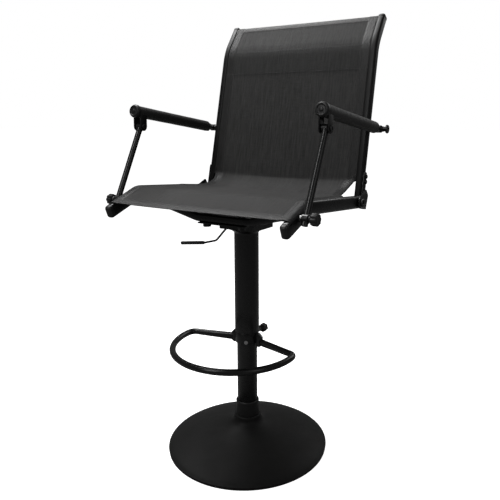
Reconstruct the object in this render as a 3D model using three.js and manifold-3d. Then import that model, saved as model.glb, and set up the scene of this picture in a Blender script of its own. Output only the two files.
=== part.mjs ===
// A folding-back swivel chair on a gas-lift pedestal, for sitting in a ground blind.
// Millimetres, +Z up. The origin is on the ground, on the pedestal's axis. The chair faces -Y,
// and "left" is the -X side. Every mesh is one closed solid, and touching pieces keep a small gap.
import * as THREE from "three";
import { mergeVertices } from "three/addons/utils/BufferGeometryUtils.js";
import Module from "manifold-3d";

const wasm = await Module();
wasm.setup();

// ---------------------------------------------------------------- driving dimensions

const GAP = 0.3;               // air left between two touching pieces
const SCREW_RADIUS = 4;        // shank of every pivot bolt, stud and pin
const SCREW_HOLE = 4.4;
const SIDES = { left: -1, right: 1 };

// Pedestal base and column
const BASE_RADIUS = 199;
const RUBBER_HEIGHT = 4.7;
const SHEET = 2.5;             // wall of the spun base cover
const COLUMN_RADIUS = 25;
const COLUMN_WALL = 2.5;
const COLUMN_TOP = 515;
const DISC_RADIUS = 180;       // steel disc that closes the base and weighs it down
const DISC_THICKNESS = 6;
const FLOOR_HEIGHT = 38;       // top of the floor welded inside the column
const BASE_COLLAR_BOTTOM = 80.5;
const BASE_COLLAR_TOP = 118;
const BEARING_RADIUS = 12;

// Footrest
const FOOTREST_HEIGHT = 275;
const FOOTREST_REACH = 152;    // radius of the hoop's front arc
const FOOTREST_CENTRE = -48;   // y of that arc's centre
const FOOTREST_TUBE = 7.5;
const FOOTREST_ARM = [132, -24];     // where each arm of the hoop starts its shoulder bend
const FOOTREST_SHOULDER = [153, -25];
const CLAMP_RADIUS = 29;
const CLAMP_LOW = 262;
const CLAMP_TOP = 297.2;
const LUG_REACH = 44;
const LUG_HALF_DEPTH = 6;
const BOSS_RADIUS = 9;         // round boss behind the clamp that takes the knob's screw
const CLAMP_KNOB_RADIUS = 11;
const CLAMP_KNOB_FRONT = 68;
const CLAMP_KNOB_REAR = 84;

// Gas lift
const CYLINDER_RADIUS = 14;
const CYLINDER_LOW = 250;
const CYLINDER_TOP = 566;
const ROD_RADIUS = 5;
const PISTON_LOW = 480;
const PISTON_TOP = 492;
const SHROUD_RADIUS = 30;
const SHROUD_WALL = 2.5;
const SHROUD_LOW = 298;
const SHROUD_TOP = 545;
const FLARE_RADIUS = 46;
const FLARE_TOP = 557.2;

// Seat carriage
const PLATE_TOP = 581.7;
const PLATE_THICKNESS = 3;
const PLATE_HALF = [66, 105];
const HOUSING_HALF = [50, 42];
const BAR_HEIGHT = 18;
const BAR_DEPTH = 24;
const BAR_WALL = 2;
const BAR_Y = 90;              // the two crossbars lie this far in front of and behind the axis
const BAR_FLAT = 72;           // half length of a crossbar's level middle
const SEAT_BOLT_X = 50;
const RAIL_X = 234;
const RAIL_WIDTH = 18;
const RAIL_HEIGHT = 30;
const RAIL_WALL = 1.8;
const RAIL_CAP_LENGTH = 13;
const RAIL_SLOPE = 0.0776;     // the seat falls towards the back
const RAIL_REAR_Y = 135;
const RAIL_REAR_Z = 621.5;
const RAIL_BEND_Y = -116;      // where the front starts to turn down
const RAIL_BEND_RADIUS = 45;
const RAIL_BEND_TURN = THREE.MathUtils.degToRad(25.5);
const RAIL_FRONT = 81;         // straight length in front of the bend

// Fold linkage in the side plane, as [y, z]: a parallelogram of upright, arm, strut and seat rail
const HINGE = [125, 622];
const CRANK = [83, 173];       // from the hinge to the arm's rear pivot
const GROUND = [-296, 6];      // from the hinge to the strut's stud
const ARM_PIVOT = [HINGE[0] + CRANK[0], HINGE[1] + CRANK[1]];
const STUD = [HINGE[0] + GROUND[0], HINGE[1] + GROUND[1]];
const CLEVIS = [STUD[0] + CRANK[0], STUD[1] + CRANK[1]];

// Backrest
const UPRIGHT_X = 224;
const UPRIGHT_WIDTH = 18;
const UPRIGHT_DEPTH = 22;
const UPRIGHT_WALL = 1.8;
const UPRIGHT_OFFSET = 33.6;   // from the hinge back to the upright's centre line
const RECLINE = THREE.MathUtils.degToRad(12.7);
const HEAD_RECLINE = THREE.MathUtils.degToRad(35);
const UPRIGHT_BELOW = 12;      // length below the hinge's level
const UPRIGHT_STRAIGHT = 402;  // length above it, up to the bend
const HEAD_LENGTH = 90;
const UPPER_BAR = 364;         // the back crossbars, measured along the upright
const LOWER_BAR = 82;
const BACK_BAR_RADIUS = 8;
const CASTING_EYE = 15;        // radius of the hinge casting round its bolt
const CASTING_PLATE = 4;
const CASTING_SCREWS = [40, 56];     // along the upright

// Sling
const SLING_THICKNESS = 3;
const SLING_FORWARD = 8.5;     // from the upright's centre line forward to the back's sheet
const SEAT_HALF_WIDTH = 241;
const BACK_HALF_WIDTH = 214.4;
const FOLD_LINE = 56;          // height of the seat-to-back fold, along the upright

// Armrests
const ARM_X = 254.6;
const ARM_SLOPE = THREE.MathUtils.degToRad(7.95);
const ARM_TUBE = 7;
const PAD_RADIUS = 14.3;
const PAD_START = 19;          // from the arm's rear pivot, along the arm
const PAD_END = 310;
const ARM_CAP_RADIUS = 16;
const EAR_GAP = 9;             // half the clevis opening
const EAR_THICKNESS = 3;
const EAR_RADIUS = 11;
const ARM_EYE = 9;
const ARM_BOLT_HEAD = 10.5;
const ARM_BOLT_END = 278;      // outermost x of the arm's bolt
const STRUT_RADIUS = 7;
const STRUT_FOOT_EYE = 9.5;
const STRUT_FOOT = 15;         // length of the strut below its stud
const KNOB_RADIUS = 13;
const KNOB_INNER = 268;        // x of the knob's two faces
const KNOB_OUTER = 283;

// Lift lever, in the plane y = 0
const LEVER_PIVOT = [-22, 573];
const LEVER_RADIUS = 2.6;
const GRIP_RADIUS = 4.6;
const GRIP_LENGTH = 73;
const LEVER_PIN_RADIUS = 2;
const LEVER_PIN_HOLE = 2.3;

// ---------------------------------------------------------------- finishes

const FINISH = {
  powder: { color: 0x161616, roughness: 0.5, metalness: 0.3 },
  basePaint: { color: 0x191918, roughness: 0.75, metalness: 0.2 },
  plastic: { color: 0x131313, roughness: 0.6, metalness: 0 },
  zinc: { color: 0xa9aaa8, roughness: 0.35, metalness: 0.9 },
  steel: { color: 0x77787a, roughness: 0.3, metalness: 1 },
  rubber: { color: 0x0e0e0e, roughness: 0.85, metalness: 0 },
  foam: { color: 0x1b1b1a, roughness: 0.9, metalness: 0 },
  mesh: { color: 0x3a3a38, roughness: 0.9, metalness: 0 },
};

const chair = new THREE.Group();

function add(name, shape, finish) {
  const geometry = shape instanceof wasm.Manifold ? toGeometry(shape) : shape;
  const mesh = new THREE.Mesh(geometry, new THREE.MeshStandardMaterial(FINISH[finish]));
  mesh.name = name;
  chair.add(mesh);
}

// ---------------------------------------------------------------- solids

function toSolid(geometry) {
  const bare = geometry.clone();
  bare.deleteAttribute("normal");
  bare.deleteAttribute("uv");
  const merged = mergeVertices(bare, 1e-4);
  return new wasm.Manifold(new wasm.Mesh({
    numProp: 3,
    vertProperties: new Float32Array(merged.attributes.position.array),
    triVerts: new Uint32Array(merged.index.array),
  }));
}

function toGeometry(solid) {
  const mesh = solid.getMesh();
  const geometry = new THREE.BufferGeometry();
  geometry.setAttribute("position", new THREE.BufferAttribute(new Float32Array(mesh.vertProperties), 3));
  geometry.setIndex(new THREE.BufferAttribute(new Uint32Array(mesh.triVerts), 1));
  geometry.computeVertexNormals();
  return geometry;
}

function join(...pieces) {
  return pieces.map(toSolid).reduce((whole, piece) => whole.add(piece));
}

function cut(whole, ...tools) {
  const solid = whole instanceof wasm.Manifold ? whole : toSolid(whole);
  return tools.map(toSolid).reduce((rest, tool) => rest.subtract(tool), solid);
}

// A box between two opposite corners.
function box([x0, y0, z0], [x1, y1, z1]) {
  const geometry = new THREE.BoxGeometry(Math.abs(x1 - x0), Math.abs(y1 - y0), Math.abs(z1 - z0));
  return geometry.translate((x0 + x1) / 2, (y0 + y1) / 2, (z0 + z1) / 2);
}

// A cylinder along one axis, between two values of that axis, at the other two coordinates.
function cylinder(axis, radius, from, to, [a, b] = [0, 0], sides = 16) {
  const geometry = new THREE.CylinderGeometry(radius, radius, Math.abs(to - from), sides);
  const middle = (from + to) / 2;
  if (axis === "x") return geometry.rotateZ(-Math.PI / 2).translate(middle, a, b);
  if (axis === "y") return geometry.translate(a, middle, b);
  return geometry.rotateX(Math.PI / 2).translate(a, b, middle);
}

// A solid of revolution about the z axis. The [radius, z] points run anticlockwise round the section.
function turned(points, sides = 24) {
  const loop = points.map(([radius, z]) => new THREE.Vector2(radius, z));
  loop.push(loop[0].clone());
  return new THREE.LatheGeometry(loop, sides).rotateX(Math.PI / 2);
}

function ring(inner, outer, low, high, sides = 24) {
  return turned([[inner, low], [outer, low], [outer, high], [inner, high]], sides);
}

// A flat plate whose outline is given in y and z, between two values of x.
function sidePlate(outline, x0, x1) {
  const shape = new THREE.Shape(outline.map(([y, z]) => new THREE.Vector2(y, z)));
  const geometry = new THREE.ExtrudeGeometry(shape, { depth: Math.abs(x1 - x0), bevelEnabled: false });
  const upright = new THREE.Matrix4().makeBasis(
    new THREE.Vector3(0, 1, 0), new THREE.Vector3(0, 0, 1), new THREE.Vector3(1, 0, 0));
  return geometry.applyMatrix4(upright).translate(Math.min(x0, x1), 0, 0);
}

// A flat plate whose outline is given in x and y, between two heights.
function flatPlate(outline, low, high) {
  const shape = new THREE.Shape(outline.map(([x, y]) => new THREE.Vector2(x, y)));
  return new THREE.ExtrudeGeometry(shape, { depth: high - low, bevelEnabled: false }).translate(0, 0, low);
}

// Points of an arc about a centre, from one angle to another.
function arc([u, v], radius, from, to, steps) {
  return Array.from({ length: steps + 1 }, (_, i) => {
    const angle = from + ((to - from) * i) / steps;
    return [u + radius * Math.cos(angle), v + radius * Math.sin(angle)];
  });
}

// ---------------------------------------------------------------- tubes along a path

// A path of straight runs between stations. A sweep puts one section at each station, square to the
// mean direction of the two runs that meet there.
class Stations extends THREE.Curve {
  constructor(points) {
    super();
    this.points = points;
  }

  getPointAt(u) {
    return this.points[Math.round(u * (this.points.length - 1))].clone();
  }

  getTangentAt(u) {
    const i = Math.round(u * (this.points.length - 1));
    const run = (a, b) => this.points[b].clone().sub(this.points[a]).normalize();
    const before = run(Math.max(i - 1, 0), Math.max(i, 1));
    const last = this.points.length - 1;
    const after = run(Math.min(i, last - 1), Math.min(i + 1, last));
    return before.add(after).normalize();
  }
}

// The points, with each inner corner replaced by a short curve that starts `trim` before it.
function rounded(points, trim, steps = 3) {
  const out = [points[0]];
  for (let i = 1; i < points.length - 1; i++) {
    const corner = points[i];
    const before = corner.clone().add(points[i - 1].clone().sub(corner).setLength(trim));
    const after = corner.clone().add(points[i + 1].clone().sub(corner).setLength(trim));
    out.push(...new THREE.QuadraticBezierCurve3(before, corner, after).getPoints(steps));
  }
  return [...out, points.at(-1)];
}

function circleSection(radius, wall = 0) {
  const shape = new THREE.Shape().absarc(0, 0, radius, 0, 2 * Math.PI);
  if (wall > 0) shape.holes.push(new THREE.Path().absarc(0, 0, radius - wall, 0, 2 * Math.PI, true));
  return shape;
}

// A rectangle with its corners cut off, hollow where it has a wall. Width is across, height along the bend.
function boxSection(width, height, corner, wall = 0) {
  const outline = (w, h, c) => [
    [w, h - c], [w - c, h], [c - w, h], [-w, h - c], [-w, c - h], [c - w, -h], [w - c, -h], [w, c - h],
  ].map(([x, y]) => new THREE.Vector2(x, y));
  const shape = new THREE.Shape(outline(width / 2, height / 2, corner));
  if (wall > 0) {
    const inner = outline(width / 2 - wall, height / 2 - wall, corner / 2).reverse();
    shape.holes.push(new THREE.Path(inner));
  }
  return shape;
}

function sweep(section, points, curveSegments = 6) {
  return new THREE.ExtrudeGeometry(section, {
    extrudePath: new Stations(points), steps: points.length - 1, curveSegments, bevelEnabled: false,
  });
}

// ---------------------------------------------------------------- pedestal

function buildBase() {
  // The cover's outer face falls from the neck in a hollow flare, then a shallow dome to a thin rim.
  const flare = new THREE.SplineCurve([
    [BASE_RADIUS, 7], [185, 14.6], [140, 31], [85, 45.5], [52, 56], [37, 66], [32.5, 79.8],
  ].map(([radius, z]) => new THREE.Vector2(radius, z)));
  const outside = flare.getPoints(10).map((p) => [p.x, p.y]);
  const neck = COLUMN_RADIUS + 1;
  const inside = outside.slice(1).map(([radius, z]) => [Math.max(radius - SHEET, neck), z - SHEET]);
  const rim = [[BASE_RADIUS - SHEET, RUBBER_HEIGHT + GAP], [BASE_RADIUS, RUBBER_HEIGHT + GAP]];
  add("base_plate", turned([...rim, ...outside, ...inside.reverse()], 32), "basePaint");
  add("base_weight", cylinder("z", DISC_RADIUS, 0, DISC_THICKNESS, [0, 0], 32), "steel");
  add("base_ring", ring(DISC_RADIUS + 4, BASE_RADIUS - 1, 0, RUBBER_HEIGHT, 32), "rubber");
  add("base_collar", turned([
    [COLUMN_RADIUS + GAP, BASE_COLLAR_BOTTOM], [29.5, BASE_COLLAR_BOTTOM], [27.6, BASE_COLLAR_TOP - 7],
    [28.6, BASE_COLLAR_TOP - 6], [28.6, BASE_COLLAR_TOP - 1], [27.6, BASE_COLLAR_TOP],
    [COLUMN_RADIUS + GAP, BASE_COLLAR_TOP],
  ]), "plastic");
}

function buildColumn() {
  const bore = COLUMN_RADIUS - COLUMN_WALL;
  const hole = ROD_RADIUS + 0.6;
  const foot = DISC_THICKNESS + GAP;
  // One weldment: the tube and the floor inside it that carries the thrust bearing.
  add("column", turned([
    [bore, foot], [COLUMN_RADIUS, foot], [COLUMN_RADIUS, COLUMN_TOP], [bore, COLUMN_TOP],
    [bore, FLOOR_HEIGHT], [hole, FLOOR_HEIGHT], [hole, FLOOR_HEIGHT - 4], [bore, FLOOR_HEIGHT - 4],
  ]), "powder");
  add("thrust_bearing", ring(hole, BEARING_RADIUS, FLOOR_HEIGHT + GAP, FLOOR_HEIGHT + 5, 20), "steel");
  const slip = CYLINDER_RADIUS + GAP;
  add("column_bush", turned([
    [slip, COLUMN_TOP - 30], [bore - GAP, COLUMN_TOP - 30], [bore - GAP, COLUMN_TOP + GAP],
    [COLUMN_RADIUS, COLUMN_TOP + GAP], [COLUMN_RADIUS, COLUMN_TOP + 3], [slip, COLUMN_TOP + 3],
  ]), "plastic");
}

// ---------------------------------------------------------------- footrest

function buildFootrest() {
  const bushOuter = COLUMN_RADIUS + 1.5;
  const knobAxis = [0, FOOTREST_HEIGHT + 5];
  add("footrest_bush", ring(COLUMN_RADIUS + GAP, bushOuter, CLAMP_LOW + 6, CLAMP_TOP, 24), "plastic");
  const clamp = join(
    cylinder("z", CLAMP_RADIUS, CLAMP_LOW + 8, CLAMP_TOP, [0, 0], 24),
    box([-LUG_REACH, -LUG_HALF_DEPTH, CLAMP_LOW], [LUG_REACH, LUG_HALF_DEPTH, CLAMP_TOP]),
    cylinder("y", BOSS_RADIUS, 20, 40, knobAxis),
  );
  add("footrest_clamp", cut(
    clamp,
    cylinder("z", bushOuter + GAP, CLAMP_LOW - 1, CLAMP_TOP + 1, [0, 0], 24),
    cylinder("y", SCREW_HOLE, 15, 45, knobAxis),
  ), "powder");

  // The D-shaped hoop: a front arc, two tight corners and two arms that run back to the lugs.
  const front = arc([0, FOOTREST_CENTRE], FOOTREST_REACH, Math.PI, 2 * Math.PI, 18);
  const level = ([x, y]) => new THREE.Vector3(x, y, FOOTREST_HEIGHT);
  const onSide = (sign, [x, y]) => level([sign * x, y]);
  const shoulder = (sign, arcEnd) =>
    new THREE.QuadraticBezierCurve3(onSide(sign, FOOTREST_ARM), onSide(sign, FOOTREST_SHOULDER), level(arcEnd))
      .getPoints(5);
  add("footrest_hoop", sweep(circleSection(FOOTREST_TUBE), [
    level([-LUG_REACH - 1, -3]),
    ...shoulder(-1, front[0]),
    ...front.slice(1, -1).map(level),
    ...shoulder(1, front.at(-1)).reverse(),
    level([LUG_REACH + 1, -3]),
  ], 5), "powder");

  add("footrest_knob", join(
    cylinder("y", SCREW_RADIUS, 28, CLAMP_KNOB_FRONT + 2, knobAxis),
    cylinder("y", CLAMP_KNOB_RADIUS, CLAMP_KNOB_FRONT, CLAMP_KNOB_REAR, knobAxis, 12),
  ), "plastic");
}

// ---------------------------------------------------------------- gas lift

function buildGasLift() {
  const bore = CYLINDER_RADIUS - 2.5;
  const pinHole = 3.3;
  add("gas_cylinder", turned([
    [bore, CYLINDER_LOW], [CYLINDER_RADIUS, CYLINDER_LOW], [CYLINDER_RADIUS, CYLINDER_TOP],
    [pinHole, CYLINDER_TOP], [pinHole, CYLINDER_TOP - 6], [bore, CYLINDER_TOP - 6],
  ]), "steel");
  add("cylinder_gland", ring(ROD_RADIUS + 0.4, bore - GAP, CYLINDER_LOW + 1, CYLINDER_LOW + 14, 20), "plastic");
  // The rod: a threaded foot, a shoulder on the bearing, the shaft and the piston.
  add("piston_rod", turned([
    [0, FLOOR_HEIGHT - 14], [ROD_RADIUS, FLOOR_HEIGHT - 14], [ROD_RADIUS, FLOOR_HEIGHT + 5.4],
    [9, FLOOR_HEIGHT + 5.4], [9, FLOOR_HEIGHT + 10], [ROD_RADIUS, FLOOR_HEIGHT + 10], [ROD_RADIUS, PISTON_LOW],
    [bore - 0.5, PISTON_LOW], [bore - 0.5, PISTON_TOP], [0, PISTON_TOP],
  ], 20), "steel");
  add("rod_clip", ring(ROD_RADIUS + GAP, 10, FLOOR_HEIGHT - 9, FLOOR_HEIGHT - 4.4, 16), "zinc");
  add("valve_pin", turned([
    [0, CYLINDER_TOP - 5], [2.8, CYLINDER_TOP - 5], [2.8, CYLINDER_TOP + 1], [1.6, CYLINDER_TOP + 3.6],
    [0, CYLINDER_TOP + 3.6],
  ], 12), "steel");

  add("column_shroud", ring(SHROUD_RADIUS - SHROUD_WALL, SHROUD_RADIUS, SHROUD_LOW, SHROUD_TOP, 24), "powder");
  // The shroud ends in a short trumpet that meets the lift housing.
  const steps = 4;
  const outside = Array.from({ length: steps + 1 }, (_, i) => {
    const rise = i / steps;
    const z = SHROUD_TOP + GAP + rise * (FLARE_TOP - SHROUD_TOP - GAP);
    return [SHROUD_RADIUS + (FLARE_RADIUS - SHROUD_RADIUS) * rise ** 2, z];
  });
  const inside = outside.map(([radius, z]) => [radius - SHROUD_WALL, z]).reverse();
  add("shroud_flare", turned([...outside, ...inside], 24), "powder");
}

function buildLiftHousing() {
  const top = PLATE_TOP - PLATE_THICKNESS - GAP;
  const low = FLARE_TOP + GAP;
  const [halfX, halfY] = HOUSING_HALF;
  const slot = 5;              // half the width of the slot that the lever swings in
  add("lift_housing", cut(
    box([-halfX, -halfY, low], [halfX, halfY, top]),
    cylinder("z", CYLINDER_RADIUS + GAP, low - 1, CYLINDER_TOP + GAP, [0, 0], 24),
    box([-halfX - 1, -slot, low - 1], [-13, slot, top + 1]),
    box([-20, -slot, CYLINDER_TOP], [10, slot, top + 1]),
    cylinder("y", LEVER_PIN_HOLE, -halfY - 1, halfY + 1, LEVER_PIVOT),
  ), "powder");
  add("lever_pin", cylinder("y", LEVER_PIN_RADIUS, 1 - halfY, halfY - 1, LEVER_PIVOT, 10), "steel");

  const [plateX, plateY] = PLATE_HALF;
  const plate = box([-plateX, -plateY, PLATE_TOP - PLATE_THICKNESS], [plateX, plateY, PLATE_TOP]);
  add("seat_plate", cut(plate, ...boltPlaces().map(([, x, y]) =>
    cylinder("z", SCREW_HOLE, PLATE_TOP - 5, PLATE_TOP + 5, [x, y], 12))), "powder");
}

function buildLever() {
  const [px, pz] = LEVER_PIVOT;
  const bend = [
    [px + 26, pz], [px - 12, pz], [-46, 566], [-60, 550], [-92, 515.5], [-129, 505.5], [-203, 496.5],
  ].map(([x, z]) => new THREE.Vector3(x, 0, z));
  const boss = cylinder("y", GRIP_RADIUS, -3.5, 3.5, LEVER_PIVOT);
  const rod = sweep(circleSection(LEVER_RADIUS), rounded(bend, 5, 2), 4);
  add("lift_lever", cut(join(rod, boss), cylinder("y", LEVER_PIN_HOLE, -6, 6, LEVER_PIVOT, 10)), "powder");

  // The grip is a sleeve over the lever's straight end, closed 3 mm beyond the lever's tip.
  const [tip, before] = [bend.at(-1), bend.at(-2)];
  const slip = LEVER_RADIUS + GAP;
  const grip = turned([
    [0, -3], [GRIP_RADIUS, -3], [GRIP_RADIUS, GRIP_LENGTH], [slip, GRIP_LENGTH], [slip, -0.5], [0, -0.5],
  ], 20);
  const slope = Math.atan2(before.x - tip.x, before.z - tip.z);
  add("lever_grip", grip.rotateY(slope).translate(tip.x, tip.y, tip.z), "plastic");
}

// ---------------------------------------------------------------- seat carriage

function boltPlaces() {
  const places = [];
  for (const [end, y] of [["front", -BAR_Y], ["rear", BAR_Y]]) {
    for (const [side, sign] of Object.entries(SIDES)) places.push([`${end}_${side}`, sign * SEAT_BOLT_X, y]);
  }
  return places;
}

function railCentre(y) {
  return RAIL_REAR_Z + (RAIL_REAR_Y - y) * RAIL_SLOPE;
}

// The rail's line at a distance above its centre line: it starts at y = `rear`, goes round the front
// bend and runs straight for the length `front`.
function railLine(above, rear, front, steps) {
  const tilt = Math.atan(RAIL_SLOPE);
  const centre = [
    RAIL_BEND_Y - RAIL_BEND_RADIUS * Math.sin(tilt),
    railCentre(RAIL_BEND_Y) - RAIL_BEND_RADIUS * Math.cos(tilt),
  ];
  const start = Math.PI / 2 - tilt;
  const bend = arc(centre, RAIL_BEND_RADIUS + above, start, start + RAIL_BEND_TURN, steps);
  const back = [rear + above * Math.sin(tilt), railCentre(rear) + above * Math.cos(tilt)];
  const down = RAIL_BEND_TURN - tilt;
  const [y, z] = bend.at(-1);
  return [back, ...bend, [y - front * Math.cos(down), z - front * Math.sin(down)]];
}

// The [y, z] points as places in the plane at x.
function inPlane(points, x) {
  return points.map(([y, z]) => new THREE.Vector3(x, y, z));
}

function buildSeatFrame() {
  const barZ = PLATE_TOP + GAP + BAR_HEIGHT / 2;
  const reach = RAIL_X - RAIL_WIDTH / 2 - 2.4;
  for (const [name, y, endZ] of [["front_crossbar", -BAR_Y, 628], ["rear_crossbar", BAR_Y, 620]]) {
    const points = [[-reach, endZ], [-BAR_FLAT, barZ], [BAR_FLAT, barZ], [reach, endZ]];
    const line = rounded(points.map(([x, z]) => new THREE.Vector3(x, y, z)), 12);
    const bar = sweep(boxSection(BAR_DEPTH, BAR_HEIGHT, 4, BAR_WALL), line);
    const holes = boltPlaces().filter(([, , by]) => by === y)
      .map(([, x]) => cylinder("z", SCREW_HOLE, barZ - 12, barZ + 12, [x, y], 12));
    add(name, cut(bar, ...holes), "powder");
  }
  for (const [place, x, y] of boltPlaces()) {
    const underPlate = PLATE_TOP - PLATE_THICKNESS - GAP;
    const barTop = barZ + BAR_HEIGHT / 2 + GAP;
    add(`seat_bolt_${place}`, join(
      cylinder("z", SCREW_RADIUS, underPlate - 8, barTop + 4, [x, y], 12),
      cylinder("z", 9.5, underPlate - 8, underPlate, [x, y], 6),
      cylinder("z", 8, barTop, barTop + 4, [x, y], 12),
    ), "zinc");
  }
}

function buildSeatRail(side, sign) {
  const line = railLine(0, RAIL_REAR_Y, RAIL_FRONT, 5);
  const tube = sweep(boxSection(RAIL_WIDTH, RAIL_HEIGHT, 4, RAIL_WALL), inPlane(line, sign * RAIL_X));
  const across = [sign * (RAIL_X - 12), sign * (RAIL_X + 12)];
  add(`${side}_seat_rail`, cut(
    tube, cylinder("x", SCREW_HOLE, ...across, HINGE, 12), cylinder("x", SCREW_HOLE, ...across, STUD, 12),
  ), "powder");

  // A rounded plastic cap closes the rail's turned-down front end.
  const [tip, before] = [line.at(-1), line.at(-2)];
  const away = new THREE.Vector2(tip[0] - before[0], tip[1] - before[1]).normalize();
  const point = (along, offset) => [
    tip[0] + away.x * along - away.y * offset, tip[1] + away.y * along + away.x * offset,
  ];
  const half = RAIL_HEIGHT / 2;
  const end = RAIL_CAP_LENGTH;
  const outline = [
    point(GAP, -half), point(GAP, half), point(end - 5, half - 2), point(end - 1, half - 8), point(end, 0),
    point(end - 1, 8 - half), point(end - 5, 2 - half),
  ];
  add(`${side}_rail_cap`,
    sidePlate(outline, sign * (RAIL_X - RAIL_WIDTH / 2), sign * (RAIL_X + RAIL_WIDTH / 2)), "plastic");
}

// The slings. The seat's sheet lies on the rails, turns down over their bend, and rises behind to the
// fold line. Its rear corners are cut away round the hinges.
function buildSlings() {
  const lift = RAIL_HEIGHT / 2 + GAP + SLING_THICKNESS / 2;
  const rear = 70;             // y where the sheet leaves the rails' line
  const seat = railLine(lift, rear, RAIL_FRONT - 8, 5).reverse();
  const fold = uprightPoint(-SLING_FORWARD, FOLD_LINE);
  const level = seat.at(-1);
  const bow = new THREE.QuadraticBezierCurve(
    new THREE.Vector2(...level), new THREE.Vector2(rear + 70, level[1] - 70 * RAIL_SLOPE),
    new THREE.Vector2(fold[0] - 0.8, fold[1] - 1.6));
  const line = [...seat, ...bow.getPoints(5).slice(1).map((p) => [p.x, p.y])];
  const section = boxSection(2 * SEAT_HALF_WIDTH, SLING_THICKNESS, 0.8);
  const beyond = SEAT_HALF_WIDTH + 2;
  const notch = (sign) => flatPlate([
    [beyond, 30], [226, 50], [213, 84], [207, 118], [207, 150], [BACK_HALF_WIDTH, 166], [beyond, 166],
  ].map(([x, y]) => [sign * x, y]), 600, 700);
  add("seat_sling", cut(sweep(section, inPlane(line, 0)), notch(1), notch(-1)), "mesh");

  const back = [FOLD_LINE + 1, UPRIGHT_STRAIGHT - 12, UPRIGHT_STRAIGHT + 14, UPRIGHT_STRAIGHT + HEAD_LENGTH - 8]
    .map((along) => uprightPoint(-SLING_FORWARD, along));
  const backSection = boxSection(2 * BACK_HALF_WIDTH, SLING_THICKNESS, 0.8);
  add("back_sling", sweep(backSection, inPlane(back, 0)), "mesh");
}

// ---------------------------------------------------------------- backrest

// A point beside the upright's centre line: `behind` it, and `along` it from the hinge's level.
function uprightPoint(behind, along) {
  const [straight, head] = [RECLINE, HEAD_RECLINE].map((lean) => ({
    up: [Math.sin(lean), Math.cos(lean)], back: [Math.cos(lean), -Math.sin(lean)],
  }));
  const reach = UPRIGHT_OFFSET + behind;
  const low = Math.min(along, UPRIGHT_STRAIGHT);
  const high = along - low;
  const bent = high > 0;
  return [0, 1].map((i) => HINGE[i] + straight.up[i] * low + head.up[i] * high
    + (bent ? straight.back[i] * UPRIGHT_OFFSET + head.back[i] * behind : straight.back[i] * reach));
}

function buildBackFrame() {
  for (const [name, along] of [["upper_back_bar", UPPER_BAR], ["lower_back_bar", LOWER_BAR]]) {
    const reach = UPRIGHT_X - UPRIGHT_WIDTH / 2 - GAP;
    const [y, z] = uprightPoint(3, along);
    const ends = [-reach, reach].map((x) => new THREE.Vector3(x, y, z));
    add(name, sweep(circleSection(BACK_BAR_RADIUS, 1.5), ends), "powder");
  }
}

function buildUpright(side, sign) {
  const at = (along) => new THREE.Vector3(sign * UPRIGHT_X, ...uprightPoint(0, along));
  const points = [at(-UPRIGHT_BELOW), at(UPRIGHT_STRAIGHT), at(UPRIGHT_STRAIGHT + HEAD_LENGTH)];
  const tube = sweep(boxSection(UPRIGHT_WIDTH, UPRIGHT_DEPTH, 4, UPRIGHT_WALL), rounded(points, 26, 5));
  const across = [sign * (UPRIGHT_X - 12), sign * (UPRIGHT_X + 12)];
  add(`${side}_upright`, cut(tube, cylinder("x", SCREW_HOLE, ...across, ARM_PIVOT, 12)), "powder");

  // The casting wraps the upright's foot and carries it on the rail's hinge bolt.
  const outer = UPRIGHT_X + UPRIGHT_WIDTH / 2 + GAP;
  const cheek = RAIL_X + RAIL_WIDTH / 2 + 0.5;
  const front = -UPRIGHT_DEPTH / 2;
  const rear = UPRIGHT_DEPTH / 2;
  const eye = arc(HINGE, CASTING_EYE, 0.6 * Math.PI, 1.75 * Math.PI, 10);
  const foot = [[rear - 15, -UPRIGHT_BELOW - 2], [rear - 10, 24], [front, 34]].map((at) => uprightPoint(...at));
  const plate = sidePlate([...eye, ...foot], sign * cheek, sign * (cheek + CASTING_PLATE));
  const web = sidePlate([
    uprightPoint(front + 3, -UPRIGHT_BELOW), uprightPoint(rear - 6, -UPRIGHT_BELOW - 2),
    uprightPoint(rear, 24), uprightPoint(front + 3, 24),
  ], sign * outer, sign * (cheek + 1));
  const tail = sidePlate([
    uprightPoint(front + 2, -UPRIGHT_BELOW), uprightPoint(rear - 2, -UPRIGHT_BELOW),
    uprightPoint(rear - 2, 74), uprightPoint(0, 82), uprightPoint(front + 2, 74),
  ], sign * outer, sign * (outer + 3.2));
  const screws = CASTING_SCREWS.map((along) =>
    cylinder("x", 5.5, sign * outer, sign * (outer + 6), uprightPoint(3, along), 10));
  const boltHole = cylinder("x", SCREW_HOLE, sign * (cheek - 2), sign * (cheek + 6), HINGE, 12);
  add(`${side}_hinge_casting`, cut(join(plate, web, tail, ...screws), boltHole), "powder");
  add(`${side}_hinge_bolt`, join(
    cylinder("x", SCREW_RADIUS, sign * (RAIL_X - 14), sign * (cheek + 9), HINGE, 12),
    cylinder("x", 8, sign * (RAIL_X - 14), sign * (RAIL_X - RAIL_WIDTH / 2 - GAP), HINGE, 6),
    cylinder("x", 9, sign * (cheek + CASTING_PLATE + GAP), sign * (cheek + 9), HINGE, 12),
  ), "zinc");
}

// ---------------------------------------------------------------- armrests

// A point on the arm's axis, `along` it from the rear pivot towards the front.
function armPoint(along) {
  return [ARM_PIVOT[0] - along * Math.cos(ARM_SLOPE), ARM_PIVOT[1] + along * Math.sin(ARM_SLOPE)];
}

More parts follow.
